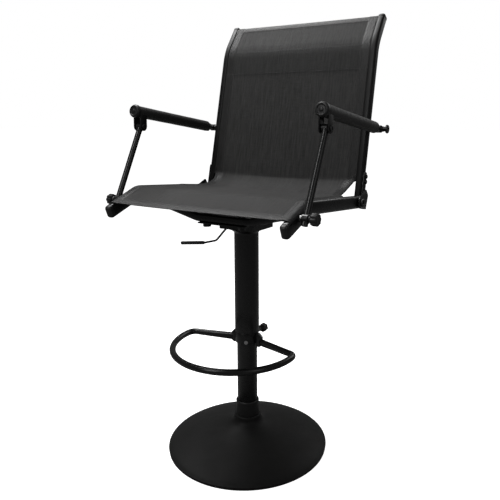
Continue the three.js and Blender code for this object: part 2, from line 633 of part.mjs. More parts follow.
function buildArm(side, sign) {
  const x = sign * ARM_X;
  const span = (section, from, to, sides) => sweep(section, inPlane([armPoint(from), armPoint(to)], x), sides);
  const ear = (offset) => {
    const [y, z] = CLEVIS;
    const lower = arc(CLEVIS, EAR_RADIUS, -Math.PI, 0, 8);
    const outline = [...lower, [y + EAR_RADIUS, z + 30], [y - EAR_RADIUS, z + 32]];
    return sidePlate(outline, x + offset, x + offset + EAR_THICKNESS);
  };
  const clevisTop = CLEVIS[1] + 24;
  const bridge = EAR_GAP + 1;
  add(`${side}_arm_tube`, cut(
    join(
      span(circleSection(ARM_TUBE), 0, PAD_END, 6),
      cylinder("x", ARM_EYE, x - ARM_TUBE, x + ARM_TUBE, ARM_PIVOT),
      ear(EAR_GAP), ear(-EAR_GAP - EAR_THICKNESS),
      box([x - bridge, CLEVIS[0] - EAR_RADIUS, clevisTop], [x + bridge, CLEVIS[0] + EAR_RADIUS, clevisTop + 5]),
    ),
    cylinder("x", SCREW_HOLE, x - 20, x + 20, ARM_PIVOT, 12),
    cylinder("x", SCREW_HOLE, x - 20, x + 20, CLEVIS, 12),
  ), "powder");
  // The foam sleeve is notched under its front end for the clevis.
  const slotWide = EAR_GAP + EAR_THICKNESS + 0.6;
  add(`${side}_arm_pad`, cut(
    span(circleSection(PAD_RADIUS, PAD_RADIUS - ARM_TUBE - GAP), PAD_START, PAD_END, 10),
    box([x - slotWide, CLEVIS[0] - 30, clevisTop - 25], [x + slotWide, CLEVIS[0] + 12, clevisTop + 15]),
  ), "foam");
  const capEnd = PAD_END + GAP;
  const dome = turned([
    [0, 0], [ARM_CAP_RADIUS - 1, 0], [ARM_CAP_RADIUS, 2], [ARM_CAP_RADIUS, 5], [ARM_CAP_RADIUS - 2, 9],
    [ARM_CAP_RADIUS - 7, 12], [0, 13],
  ], 16);
  dome.rotateX(Math.PI / 2 - ARM_SLOPE).translate(x, ...armPoint(capEnd));
  add(`${side}_arm_cap`, dome, "plastic");

  const uprightFace = UPRIGHT_X + UPRIGHT_WIDTH / 2;
  add(`${side}_arm_bolt`, join(
    cylinder("x", SCREW_RADIUS, sign * (UPRIGHT_X - 14), sign * ARM_BOLT_END, ARM_PIVOT, 12),
    cylinder("x", 7.5, sign * (UPRIGHT_X - 14), sign * (UPRIGHT_X - UPRIGHT_WIDTH / 2 - GAP), ARM_PIVOT, 6),
    cylinder("x", 7, sign * (uprightFace + GAP), sign * (ARM_X - ARM_TUBE - GAP), ARM_PIVOT, 12),
    cylinder("x", ARM_BOLT_HEAD, sign * (ARM_BOLT_END - 4.5), sign * ARM_BOLT_END, ARM_PIVOT, 16),
    cylinder("x", 6, sign * (ARM_X + ARM_TUBE + GAP), sign * (ARM_BOLT_END - 4), ARM_PIVOT, 12),
  ), "powder");
  const pinReach = EAR_GAP + EAR_THICKNESS + GAP;
  const pinHead = 2.5;
  add(`${side}_clevis_pin`, join(
    cylinder("x", SCREW_RADIUS, x - pinReach - pinHead, x + pinReach + pinHead, CLEVIS, 12),
    cylinder("x", 6.5, x - pinReach - pinHead, x - pinReach, CLEVIS, 12),
    cylinder("x", 6.5, x + pinReach, x + pinReach + pinHead, CLEVIS, 12),
  ), "zinc");
}

function buildStrut(side, sign) {
  const x = sign * ARM_X;
  const share = STRUT_FOOT / Math.hypot(...CRANK);
  const foot = [STUD[0] - share * CRANK[0], STUD[1] - share * CRANK[1]];
  const hole = (place) => cylinder("x", SCREW_HOLE, x - 20, x + 20, place, 12);
  add(`${side}_strut`, cut(
    join(
      sweep(circleSection(STRUT_RADIUS), inPlane([foot, CLEVIS], x), 6),
      cylinder("x", STRUT_FOOT_EYE, x - STRUT_RADIUS, x + STRUT_RADIUS, STUD),
      cylinder("x", ARM_EYE, x - STRUT_RADIUS, x + STRUT_RADIUS, CLEVIS),
    ),
    hole(STUD), hole(CLEVIS),
  ), "powder");
  const railFace = RAIL_X + RAIL_WIDTH / 2;
  const strutFace = ARM_X - STRUT_RADIUS;
  add(`${side}_strut_stud`, join(
    cylinder("x", SCREW_RADIUS, sign * (RAIL_X - 14), sign * (KNOB_OUTER - 4), STUD, 12),
    cylinder("x", 9, sign * (RAIL_X - 14), sign * (RAIL_X - RAIL_WIDTH / 2 - GAP), STUD, 6),
    cylinder("x", 6.5, sign * (railFace + GAP), sign * (strutFace - GAP), STUD, 12),
  ), "zinc");
  const knob = join(
    cylinder("x", 6.5, sign * (ARM_X + STRUT_RADIUS + GAP), sign * (KNOB_INNER + 0.5), STUD, 12),
    cylinder("x", KNOB_RADIUS, sign * KNOB_INNER, sign * KNOB_OUTER, STUD, 12),
  );
  const bore = cylinder("x", SCREW_HOLE, sign * ARM_X, sign * (KNOB_OUTER - 3.6), STUD, 12);
  add(`${side}_strut_knob`, cut(knob, bore), "plastic");
}

// ---------------------------------------------------------------- assembly

buildBase();
buildColumn();
buildFootrest();
buildGasLift();
buildLiftHousing();
buildLever();
buildSeatFrame();
buildSlings();
buildBackFrame();
for (const [side, sign] of Object.entries(SIDES)) {
  buildSeatRail(side, sign);
  buildUpright(side, sign);
  buildArm(side, sign);
  buildStrut(side, sign);
}

export default chair;
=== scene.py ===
"""The looks of the blind swivel chair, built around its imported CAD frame.

Lengths in the code are millimetres, and become metres when a mesh is made. The frame is the CAD's:
+Z up, the origin on the ground on the pedestal's axis, the chair facing -Y, and "left" on the -X side.
"""
import math

import bmesh
import bpy
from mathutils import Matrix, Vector


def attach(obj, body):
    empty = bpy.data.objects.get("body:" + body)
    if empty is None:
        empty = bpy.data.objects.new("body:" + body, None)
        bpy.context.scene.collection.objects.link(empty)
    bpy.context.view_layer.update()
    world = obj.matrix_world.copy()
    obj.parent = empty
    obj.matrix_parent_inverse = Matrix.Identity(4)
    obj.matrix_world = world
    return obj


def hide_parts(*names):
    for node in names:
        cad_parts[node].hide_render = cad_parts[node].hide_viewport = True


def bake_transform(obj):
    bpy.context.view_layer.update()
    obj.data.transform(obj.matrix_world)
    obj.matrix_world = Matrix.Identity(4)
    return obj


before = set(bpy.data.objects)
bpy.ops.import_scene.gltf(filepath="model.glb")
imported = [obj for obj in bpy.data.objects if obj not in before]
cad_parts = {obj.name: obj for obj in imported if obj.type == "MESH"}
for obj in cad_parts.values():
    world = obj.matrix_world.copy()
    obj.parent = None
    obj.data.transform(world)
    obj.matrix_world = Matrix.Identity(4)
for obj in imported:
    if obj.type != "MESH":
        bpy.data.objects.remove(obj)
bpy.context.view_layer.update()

MM = 0.001
SIDES = {"left": -1, "right": 1}
X_AXIS, Y_AXIS, Z_AXIS = (1, 0, 0), (0, 1, 0), (0, 0, 1)

# ---------------- driving dimensions

# Pedestal
BASE_RADIUS = 199
COVER_WALL = 2.5
COLUMN_RADIUS = 25
COLUMN_WALL = 2.5
COLUMN_LOW = 6.3
COLUMN_TOP = 515
COLLAR_LOW = 80.5
COLLAR_TOP = 118
SHROUD_RADIUS = 30
SHROUD_WALL = 2.5
SHROUD_LOW = 298
FLARE_LOW = 545
FLARE_TOP = 557.2
FLARE_RADIUS = 46

# Footrest
HOOP_Z = 275
HOOP_REACH = 152
HOOP_CENTRE_Y = -48
HOOP_TUBE = 7.5
CLAMP_RADIUS = 29
CLAMP_LOW = 262
CLAMP_TOP = 297.2
LUG_REACH = 44
KNOB_Z = 280

# Seat frame
BAR_MIDDLE_Z = 591
BAR_Y = 90
BAR_FLAT = 72
BAR_END_X = 222.6
BAR_DEPTH = 24
BAR_HEIGHT = 18
RAIL_X = 234
RAIL_WIDTH = 18
RAIL_HEIGHT = 30
RAIL_SLOPE = 0.0776
RAIL_REAR = (135, 621.5)
RAIL_BEND_Y = -116
RAIL_BEND_RADIUS = 45
RAIL_BEND_TURN = math.radians(25.5)
RAIL_FRONT = 81                     # straight length in front of the bend

# Side linkage, in (y, z)
HINGE = Vector((125, 622))
ARM_PIVOT = Vector((208, 795))
STUD = Vector((-171, 628))
CLEVIS = Vector((-88, 801))
HINGE_CHEEK = RAIL_X + RAIL_WIDTH / 2 + 0.5     # x of the hinge casting's inner face

# Backrest
UPRIGHT_X = 224
UPRIGHT_WIDTH = 18
UPRIGHT_DEPTH = 22
UPRIGHT_OFFSET = 33.6
RECLINE = math.radians(12.7)
HEAD_RECLINE = math.radians(35)
UPRIGHT_BELOW = 12
UPRIGHT_STRAIGHT = 402
HEAD_LENGTH = 90
UPPER_BAR = 364
LOWER_BAR = 82
BACK_BAR_RADIUS = 8

# Sling
SEAT_HALF_WIDTH = 241
BACK_HALF_WIDTH = 216.2             # the hem reaches into the uprights' rounded corners
FOLD_LINE = 56
FOLD_Z = 671                        # above this level the sling belongs to the back
CUT_OUT = [                         # y along the seat, and the sling's half width there
    (30, SEAT_HALF_WIDTH), (38, 236), (46, 230), (56, 223.5), (72, 216), (92, 209), (116, 204.5),
    (136, 203.5), (150, 206), (160, 211), (166, BACK_HALF_WIDTH),
]
SLING_FRONT_OF_UPRIGHT = 8.5
SLING_OVER_RAIL = 16.8
CLOTH_HALF_THICKNESS = 0.6
HEM_WIDTH = 24
HEM_LIFT = 0.9
BAND_LOW, BAND_HIGH = 330, 402      # the doubled band, along the upright

# Armrests
ARM_X = 254.6
ARM_SLOPE = math.radians(7.95)
ARM_TUBE = 7
PAD_RADIUS = 14.3
PAD_START = 19
PAD_END = 310
ARM_CAP_RADIUS = 16
EAR_GAP = 9
EAR_THICKNESS = 3
STRUT_RADIUS = 7
EYE_RADIUS = 9                      # of the flattened eyes at the pivots
EYE_HALF = 7
STRUT_FOOT = 15                     # how far the strut runs on below its stud
STUD_END = 279
KNOB_RADIUS = 13

# Lift lever, in (x, z)
LEVER_PATH = [(4, 573), (-34, 573), (-46, 566), (-60, 550), (-92, 515.5), (-129, 505.5), (-203, 496.5)]
LEVER_PIVOT = (-22, 0, 573)
LEVER_RADIUS = 2.6
GRIP_RADIUS = 4.6
GRIP_LENGTH = 73


# ---------------- lines and sections

def spaced(first, last, steps):
    return [first + (last - first) * i / steps for i in range(steps + 1)]


def arc(centre, radius, start, stop, steps):
    """Points of an arc in a plane."""
    centre = Vector(centre)
    return [centre + radius * Vector((math.cos(a), math.sin(a))) for a in spaced(start, stop, steps)]


def bezier(a, control, b, steps):
    a, control, b = Vector(a), Vector(control), Vector(b)
    return [a * (1 - t) ** 2 + control * (2 * t * (1 - t)) + b * t ** 2 for t in spaced(0, 1, steps)]


def through(points, steps):
    """A smooth curve through the points, with that many steps between each two."""
    points = [Vector(p) for p in points]
    ends = [points[0] * 2 - points[1], *points, points[-1] * 2 - points[-2]]
    out = [points[0]]
    for a, b, c, d in zip(ends, ends[1:], ends[2:], ends[3:]):
        for t in spaced(0, 1, steps)[1:]:
            out.append((b * 2 + (c - a) * t + (a * 2 - b * 5 + c * 4 - d) * t ** 2
                        + (b * 3 - a - c * 3 + d) * t ** 3) / 2)
    return out


def filleted(points, radius, steps=6, closed=False):
    """The points, with each corner turned into an arc of the radius, or less where its sides are short."""
    points = [Vector(p) for p in points]
    out = []
    for i, corner in enumerate(points):
        if not closed and i in (0, len(points) - 1):
            out.append(corner)
            continue
        before = points[i - 1] - corner
        after = points[(i + 1) % len(points)] - corner
        half = before.angle(after) / 2
        if half > math.radians(89):
            out.append(corner)
            continue
        trim = min(radius / math.tan(half), 0.48 * before.length, 0.48 * after.length)
        towards = (before.normalized() + after.normalized()).normalized()
        centre = corner + towards * (trim / math.cos(half))
        first = corner + before.normalized() * trim - centre
        last = corner + after.normalized() * trim - centre
        turn = first.angle(last)
        for t in spaced(0, 1, steps):
            swung = first * math.sin((1 - t) * turn) + last * math.sin(t * turn)
            out.append(centre + swung / math.sin(turn))
    return out


def circle(radius, sides=32):
    return [(radius * math.cos(2 * math.pi * k / sides), radius * math.sin(2 * math.pi * k / sides))
            for k in range(sides)]


def box_section(width, height, corner, steps=4):
    w, h = width / 2, height / 2
    return filleted([(w, h), (-w, h), (-w, -h), (w, -h)], corner, steps, closed=True)


def drum(radius, half, edge=0.8):
    """The profile of a solid drum with bevelled rims, `half` to each side of its middle."""
    return [(0, -half), (radius - edge, -half), (radius, edge - half), (radius, half - edge),
            (radius - edge, half), (0, half)]


# ---------------- pieces

class Piece:
    """Gathers closed shells, in millimetres, and makes one object of them."""

    def __init__(self):
        self.bm = bmesh.new()

    def shell(self, verts, faces, bevel=0.0):
        part = bmesh.new()
        made = [part.verts.new(v) for v in verts]
        for face in faces:
            part.faces.new([made[i] for i in face])
        bmesh.ops.recalc_face_normals(part, faces=part.faces)
        if bevel:
            sharp = [e for e in part.edges if e.is_manifold and e.calc_face_angle() > math.radians(30)]
            bmesh.ops.bevel(part, geom=sharp, offset=bevel, segments=2, profile=0.5,
                            affect="EDGES", clamp_overlap=True)
        scratch = bpy.data.meshes.new("shell")
        part.to_mesh(scratch)
        part.free()
        self.bm.from_mesh(scratch)
        bpy.data.meshes.remove(scratch)
        return self

    def rings(self, rings):
        """Joins rings of equal length into a skin, and closes both ends with a flat face."""
        count = len(rings[0])
        verts = [v for ring in rings for v in ring]
        faces = [[i * count + k, i * count + (k + 1) % count, (i + 1) * count + (k + 1) % count,
                  (i + 1) * count + k] for i in range(len(rings) - 1) for k in range(count)]
        faces += [list(range(count)), [(len(rings) - 1) * count + k for k in reversed(range(count))]]
        return self.shell(verts, faces)

    def sweep(self, section, path, across, ends=(0.8, 0.8), shape=None):
        """Carries a section along a path. Its first coordinate runs along `across`, and its second is
        square to that and to the path. Each end is rounded off by a radius. `shape` takes the distance
        from the start and gives the section's two scales there."""
        across = Vector(across).normalized()
        half = [max(abs(p[i]) for p in section) for i in (0, 1)]
        path = [Vector(p) for p in path]
        start = (path[1] - path[0]).normalized()
        stop = (path[-1] - path[-2]).normalized()

        def rounded_end(point, outward, radius):
            return [(point - outward * radius * (1 - math.sin(a)), outward,
                     [1 - radius * (1 - math.cos(a)) / h for h in half])
                    for a in spaced(0, math.pi / 2, 5)]

        first = [(p, -d, s) for p, d, s in reversed(rounded_end(path[0], -start, ends[0]))]
        middle = [(b, ((b - a).normalized() + (c - b).normalized()).normalized(), [1, 1])
                  for a, b, c in zip(path, path[1:], path[2:])]
        stations = [*first, *middle, *rounded_end(path[-1], stop, ends[1])]
        rings, distance, last = [], 0.0, path[0]
        for point, tangent, scale in stations:
            distance += (point - last).length
            last = point
            own = shape(distance) if shape else (1, 1)
            normal = across.cross(tangent)
            rings.append([point + across * (u * scale[0] * own[0]) + normal * (v * scale[1] * own[1])
                          for u, v in section])
        return self.rings(rings)

    def lathe(self, profile, at=(0, 0, 0), along=Z_AXIS, sides=96, closed=False, lobes=None):
        """Turns (radius, distance) points about an axis. `lobes` is (count, depth, least radius): the
        rim beyond that radius is scalloped."""
        axis = Vector(along).normalized()
        side = axis.orthogonal().normalized()
        up = axis.cross(side)
        at = Vector(at)
        verts, rings = [], []
        for radius, distance in profile:
            steps = sides if radius > 1e-6 else 1
            ring = []
            for k in range(steps):
                angle = 2 * math.pi * k / sides
                reach = radius
                if lobes and radius > lobes[2]:
                    reach -= lobes[1] * (0.5 - 0.5 * math.cos(lobes[0] * angle)) ** 2
                ring.append(len(verts))
                aside, upward = reach * math.cos(angle), reach * math.sin(angle)
                verts.append(at + axis * distance + side * aside + up * upward)
            rings.append(ring)
        faces = []
        pairs = list(zip(rings, rings[1:])) + ([(rings[-1], rings[0])] if closed else [])
        for a, b in pairs:
            for k in range(sides):
                face = [a[k % len(a)], a[(k + 1) % len(a)], b[(k + 1) % len(b)], b[k % len(b)]]
                face = list(dict.fromkeys(face))
                if len(face) > 2:
                    faces.append(face)
        if not closed:
            faces += [list(ring) for ring in (rings[0], rings[-1]) if len(ring) > 1]
        return self.shell(verts, faces)

    def plate(self, outline, axis, low, high, bevel=1.0):
        """A flat plate between two values of an axis. Its outline is in the other two, in x, y, z order."""
        spot = {
            "x": lambda u, v, d: (d, u, v),
            "y": lambda u, v, d: (u, d, v),
            "z": lambda u, v, d: (u, v, d),
        }[axis]
        count = len(outline)
        verts = [spot(p[0], p[1], d) for d in (low, high) for p in outline]
        faces = [[k, (k + 1) % count, count + (k + 1) % count, count + k] for k in range(count)]
        faces += [list(range(count)), [count + k for k in range(count)]]
        return self.shell(verts, faces, bevel)

    def mesh(self, name):
        """The gathered shells as one mesh, in metres."""
        mesh = bpy.data.meshes.new(name)
        self.bm.to_mesh(mesh)
        self.bm.free()
        for vertex in mesh.vertices:
            vertex.co *= MM
        return mesh

    def done(self, name, finish, body, *nodes):
        return place(name, self.mesh(name), [finish], body, nodes)


def place(name, mesh, finishes, body, nodes, sharp=35):
    """Makes the object, gives it its materials, and lets it stand for CAD nodes and ride on a body."""
    mesh.shade_smooth()
    mesh.set_sharp_from_angle(angle=math.radians(sharp))
    piece = bpy.data.objects.new(name, mesh)
    bpy.context.scene.collection.objects.link(piece)
    for finish in finishes:
        mesh.materials.append(MATERIALS[finish])
    if body:
        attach(piece, body)
    if nodes:
        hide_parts(*nodes)
    return piece


def carry_over(node, finish, bevel=0.0):
    """Keeps a CAD node, with a material and softened edges."""
    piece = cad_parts[node]
    piece.data.materials.clear()
    piece.data.materials.append(MATERIALS[finish])
    piece.data.shade_smooth()
    piece.data.set_sharp_from_angle(angle=math.radians(30))
    if bevel:
        edge = piece.modifiers.new("soft edges", "BEVEL")
        edge.width = bevel * MM
        edge.segments = 2
        edge.limit_method = "ANGLE"
        edge.angle_limit = math.radians(40)
        edge.harden_normals = True


# ---------------- materials

class Nodes:
    """A material's node tree, with short ways to add to it."""

    def __init__(self, name):
        self.material = bpy.data.materials.new(name)
        self.material.use_nodes = True
        self.tree = self.material.node_tree
        self.shader = self.tree.nodes["Principled BSDF"]

    def add(self, kind, *values, **settings):
        """A node with its inputs in order: each is a number, a colour or a socket, and None leaves it."""
        node = self.tree.nodes.new("ShaderNode" + kind)
        for key, value in settings.items():
            setattr(node, key, value)
        for socket, value in zip(node.inputs, values):
            self.feed(socket, value)
        return node

    def feed(self, socket, value):
        if value is None:
            return
        if isinstance(value, bpy.types.NodeSocket):
            self.tree.links.new(value, socket)
        else:
            socket.default_value = value

    def maths(self, operation, *values):
        return self.add("Math", *values, operation=operation).outputs[0]

    def total(self, first, *rest):
        for value in rest:
            first = self.maths("ADD", first, value)
        return first

    def noise(self, where, scale, detail=2.0, roughness=0.5):
        node = self.add("TexNoise", where, noise_dimensions="3D")
        node.inputs["Scale"].default_value = scale
        node.inputs["Detail"].default_value = detail
        node.inputs["Roughness"].default_value = roughness
        return node.outputs["Fac"]

    def spread(self, value, low, high, to_low, to_high):
        node = self.add("MapRange", value, low, high, to_low, to_high)
        return node.outputs[0]

    def mix(self, share, first, second, blend="MIX"):
        node = self.add("Mix", data_type="RGBA", blend_type=blend)
        self.feed(node.inputs[0], share)
        self.feed(node.inputs[6], first)
        self.feed(node.inputs[7], second)
        return node.outputs[2]

    def bump(self, height, distance, strength=1.0, below=None):
        node = self.add("Bump")
        node.inputs["Strength"].default_value = strength
        node.inputs["Distance"].default_value = distance
        self.feed(node.inputs["Height"], height)
        self.feed(node.inputs["Normal"], below)
        return node.outputs[0]

    def set(self, **values):
        for name, value in values.items():
            self.feed(self.shader.inputs[name.replace("_", " ")], value)


def grey(level, warm=0.0):
    return (level * (1 + warm), level, level * (1 - warm), 1)


def coated(name, level, worn, roughness, grain, grain_depth, metallic=0.0, specular=0.5, warm=0.0):
    """Paint or moulded plastic: a fine grain, cloudy gloss, faint dust and lighter, worn edges."""
    n = Nodes(name)
    where = n.add("TexCoord").outputs["Object"]
    clouds = n.noise(where, 22, 4)
    fine = n.noise(where, grain, 3, 0.6)
    base = n.mix(n.spread(clouds, 0.3, 0.7, 0, 1), grey(level * 0.82, warm), grey(level * 1.2, warm))
    pointy = n.add("NewGeometry").outputs["Pointiness"]
    edges = n.spread(pointy, 0.53, 0.6, 0, 1)
    scuffs = n.maths("MULTIPLY", edges, n.spread(n.noise(where, 160, 4), 0.45, 0.65, 0, 1))
    n.set(Base_Color=n.mix(scuffs, base, grey(worn, warm)))
    n.set(Roughness=n.maths("ADD", n.spread(clouds, 0.3, 0.7, roughness - 0.05, roughness + 0.06),
                            n.spread(fine, 0.3, 0.7, -0.04, 0.04)))
    n.set(Metallic=metallic, Specular_IOR_Level=specular)
    n.set(Normal=n.bump(fine, grain_depth, 0.6))
    return n.material


def plated(name, level, roughness, brushing):
    """Bare or plated metal with fine drawn marks and dulled patches."""
    n = Nodes(name)
    where = n.add("TexCoord").outputs["Object"]
    stretched = n.add("Mapping", where)
    stretched.inputs["Scale"].default_value = (1, 1, brushing)
    lines = n.noise(stretched.outputs[0], 420, 2)
    patches = n.noise(where, 60, 3)
    n.set(Base_Color=n.mix(n.spread(patches, 0.3, 0.7, 0, 1), grey(level * 0.78), grey(level * 1.1, 0.01)))
    n.set(Roughness=n.spread(lines, 0.3, 0.7, roughness - 0.07, roughness + 0.1), Metallic=1.0)
    n.set(Normal=n.bump(lines, 0.00003, 0.5))
    return n.material


def foam(name):
    """Closed-cell foam: small open pores in a dull skin, with soft large dimples."""
    n = Nodes(name)
    where = n.add("TexCoord").outputs["Object"]
    cells = n.add("TexVoronoi", where, feature="F1")
    cells.inputs["Scale"].default_value = 900
    pores = cells.outputs["Distance"]
    dimples = n.noise(where, 120, 3)
    n.set(Base_Color=n.mix(n.spread(pores, 0.1, 0.7, 0, 1), grey(0.030, 0.02), grey(0.016, 0.02)))
    n.set(Roughness=n.spread(dimples, 0.3, 0.7, 0.6, 0.78), Specular_IOR_Level=0.45)
    n.set(Normal=n.bump(pores, 0.00016, 0.55, n.bump(dimples, 0.0005, 0.35)))
    return n.material


def woven(name, light, dark, pitch, roughness, depth, streaks=1.0, sheen=0.05):
    """Coated-yarn mesh. The weave runs along the cloth's own measure, kept in its UV map in metres."""
    n = Nodes(name)
    where = n.add("UVMap", uv_map="cloth").outputs[0]
    across, along, _ = n.add("SeparateXYZ", where).outputs
    wave = [n.maths("SINE", n.maths("MULTIPLY", value, 2 * math.pi / pitch)) for value in (across, along)]
    over = n.maths("MULTIPLY", wave[0], wave[1])
    yarn = n.maths("MAXIMUM", n.maths("ABSOLUTE", wave[0]), n.maths("ABSOLUTE", wave[1]))

    def yarn_noise(stretch_across, stretch_along):
        mapped = n.add("Mapping", where)
        mapped.inputs["Scale"].default_value = (stretch_across, stretch_along, 1)
        return n.noise(mapped.outputs[0], 1, 3, 0.6)

    warp = yarn_noise(560, 26)
    weft = yarn_noise(26, 560)
    slub = yarn_noise(240, 14)
    patchy = n.noise(where, 9, 3)
    tone = n.total(n.spread(warp, 0.32, 0.68, 0, 0.4 * streaks), n.spread(weft, 0.32, 0.68, 0, 0.2 * streaks),
                   n.spread(slub, 0.36, 0.64, 0, 0.3 * streaks), n.spread(patchy, 0.3, 0.7, -0.08, 0.08),
                   n.spread(over, -1, 1, -0.14, 0.14))
    cloth = n.mix(n.spread(tone, 0, 1, 0, 1), grey(dark, 0.015), grey(light, 0.02))
    holes = n.spread(yarn, 0.35, 0.75, 0, 1)
    n.set(Base_Color=n.mix(holes, grey(dark * 0.35), cloth))
    n.set(Roughness=n.spread(warp, 0.3, 0.7, roughness - 0.06, roughness + 0.06))
    n.set(Sheen_Weight=sheen, Sheen_Roughness=0.45, Specular_IOR_Level=0.22)
    height = n.total(n.maths("MULTIPLY", yarn, 0.7), n.maths("MULTIPLY", over, 0.3))
    n.set(Normal=n.bump(height, depth, 0.7))
    return n.material


def twisted(name, level):
    """Sewing thread."""
    n = Nodes(name)
    where = n.add("TexCoord").outputs["Object"]
    fibres = n.noise(where, 2600, 2)
    n.set(Base_Color=n.mix(fibres, grey(level * 0.6), grey(level * 1.3)))
    n.set(Roughness=n.spread(fibres, 0.3, 0.7, 0.5, 0.7))
    n.set(Normal=n.bump(fibres, 0.0001, 0.5))
    return n.material


MATERIALS = {
    "powder": coated("powder coat", 0.0045, 0.03, 0.27, 1500, 0.00004, specular=0.4),
    "dull_powder": coated("dull powder coat", 0.0045, 0.02, 0.42, 1500, 0.00004, specular=0.2),
    "base_paint": coated("textured base paint", 0.0045, 0.02, 0.55, 900, 0.00012, specular=0.2, warm=0.01),
    "plastic": coated("moulded plastic", 0.0085, 0.03, 0.46, 1100, 0.00008, specular=0.42),
    "rubber": coated("rubber", 0.007, 0.02, 0.7, 700, 0.00015, specular=0.35),
    "zinc": plated("zinc plate", 0.42, 0.36, 1),
    "steel": plated("oiled steel", 0.2, 0.34, 0.05),
    "foam": foam("armrest foam"),
    "mesh_fabric": woven("sling mesh", 0.042, 0.005, 0.0017, 0.66, 0.0004, streaks=1.3),
    "doubled": woven("doubled mesh", 0.028, 0.004, 0.0017, 0.64, 0.0004, streaks=1.3),
    "hem": woven("hem tape", 0.027, 0.008, 0.0011, 0.42, 0.0002, streaks=0.7),
    "binding": woven("binding tape", 0.006, 0.002, 0.0009, 0.6, 0.0002, streaks=0.6),
    "thread": twisted("thread", 0.03),
}


# ---------------- pedestal

def build_base():
    dome = [(BASE_RADIUS, 7), (185, 14.6), (140, 31), (85, 45.5), (52, 56), (37, 66), (32.5, 79.8)]
    outside = through(dome, 12)
    inside = [(max(r - COVER_WALL, COLUMN_RADIUS + 1), z - COVER_WALL) for r, z in outside[6:]]
    rim = filleted([(BASE_RADIUS - COVER_WALL, 5.2), (BASE_RADIUS - 0.2, 5.2), outside[0]], 0.8, 4)
    neck = [(30.8, 80.4), (28.6, 80.2)]
    cover = [*rim, *outside[1:-1], (32.3, 79.3), *neck, *reversed(inside)]
    Piece().lathe(cover, sides=160, closed=True).done("base_cover", "base_paint", "base", "base_plate")
    foot = [(184, 0.4), (184.4, 0), (197.4, 0), (198, 0.8), (198, 2.2), (197.2, 2.6),
            (197.2, 3.0), (198, 3.4), (198, 4.2), (197.4, 4.7), (184.4, 4.7), (184, 4.3)]
    Piece().lathe(foot, sides=160, closed=True).done("floor_ring", "rubber", "base", "base_ring")
    collar = filleted([
        (COLUMN_RADIUS + 0.3, COLLAR_LOW), (29.5, COLLAR_LOW), (27.6, COLLAR_TOP - 7), (28.6, COLLAR_TOP - 6),
        (28.6, COLLAR_TOP - 1.5), (27.2, COLLAR_TOP), (COLUMN_RADIUS + 0.3, COLLAR_TOP),
    ], 0.5, 3, closed=True)
    Piece().lathe(collar, closed=True).done("collar_moulding", "plastic", "base", "base_collar")
    bore = COLUMN_RADIUS - COLUMN_WALL
    tube = filleted([(bore, COLUMN_LOW), (COLUMN_RADIUS, COLUMN_LOW), (COLUMN_RADIUS, COLUMN_TOP),
                     (bore, COLUMN_TOP)], 0.4, 2, closed=True)
    Piece().lathe(tube, closed=True).done("column_tube", "powder", "base", "column")
    carry_over("base_weight", "steel", 0.6)
    carry_over("thrust_bearing", "steel")
    carry_over("column_bush", "plastic")


def build_gas_lift():
    flare = []
    for rise in spaced(0, 1, 14):
        flare.append((SHROUD_RADIUS + (FLARE_RADIUS - SHROUD_RADIUS) * rise ** 2,
                      FLARE_LOW + 0.3 + rise * (FLARE_TOP - FLARE_LOW - 0.3)))
    inside = [(r - SHROUD_WALL, z) for r, z in reversed(flare)]
    low = SHROUD_RADIUS - SHROUD_WALL
    foot = [(low, SHROUD_LOW + 0.5), (low + 0.5, SHROUD_LOW), (SHROUD_RADIUS - 0.6, SHROUD_LOW),
            (SHROUD_RADIUS, SHROUD_LOW + 0.6)]
    Piece().lathe([*foot, *flare, *inside], closed=True).done(
        "shroud_tube", "powder", "carriage", "column_shroud", "shroud_flare")
    for node, finish in (("gas_cylinder", "steel"), ("cylinder_gland", "plastic"), ("piston_rod", "steel"),
                         ("rod_clip", "zinc"), ("valve_pin", "steel"), ("lever_pin", "steel")):
        carry_over(node, finish)
    carry_over("lift_housing", "powder", 1.6)
    carry_over("seat_plate", "powder", 0.8)
    for end in ("front", "rear"):
        for side in SIDES:
            carry_over(f"seat_bolt_{end}_{side}", "powder", 0.6)


def build_lever():
    path = filleted([(x, 0, z) for x, z in LEVER_PATH], 16, 8)
    rod = Piece().sweep(circle(LEVER_RADIUS, 20), path, Y_AXIS, (1, 1))
    rod.lathe(drum(4.6, 3.5, 0.4), LEVER_PIVOT, Y_AXIS, 32)
    rod.done("lever_rod", "powder", "lever", "lift_lever")
    tip = Vector(path[-1])
    inward = (Vector((LEVER_PATH[-2][0], 0, LEVER_PATH[-2][1])) - tip).normalized()
    ribs = [(GRIP_RADIUS - 0.9, -3.4), (GRIP_RADIUS - 0.2, -2.6), (GRIP_RADIUS, -1)]
    for i in range(12):
        middle = 6 + i * 5
        ribs += [(GRIP_RADIUS, middle - 1.4), (GRIP_RADIUS - 0.45, middle), (GRIP_RADIUS, middle + 1.4)]
    ribs += [(GRIP_RADIUS, GRIP_LENGTH - 4), (GRIP_RADIUS - 0.5, GRIP_LENGTH - 1),
             (LEVER_RADIUS + 0.1, GRIP_LENGTH)]
    Piece().lathe([(0, -3.4), *ribs, (0, GRIP_LENGTH)], tip, inward, 28).done(
        "lever_sleeve", "plastic", "lever", "lever_grip")


# ---------------- footrest

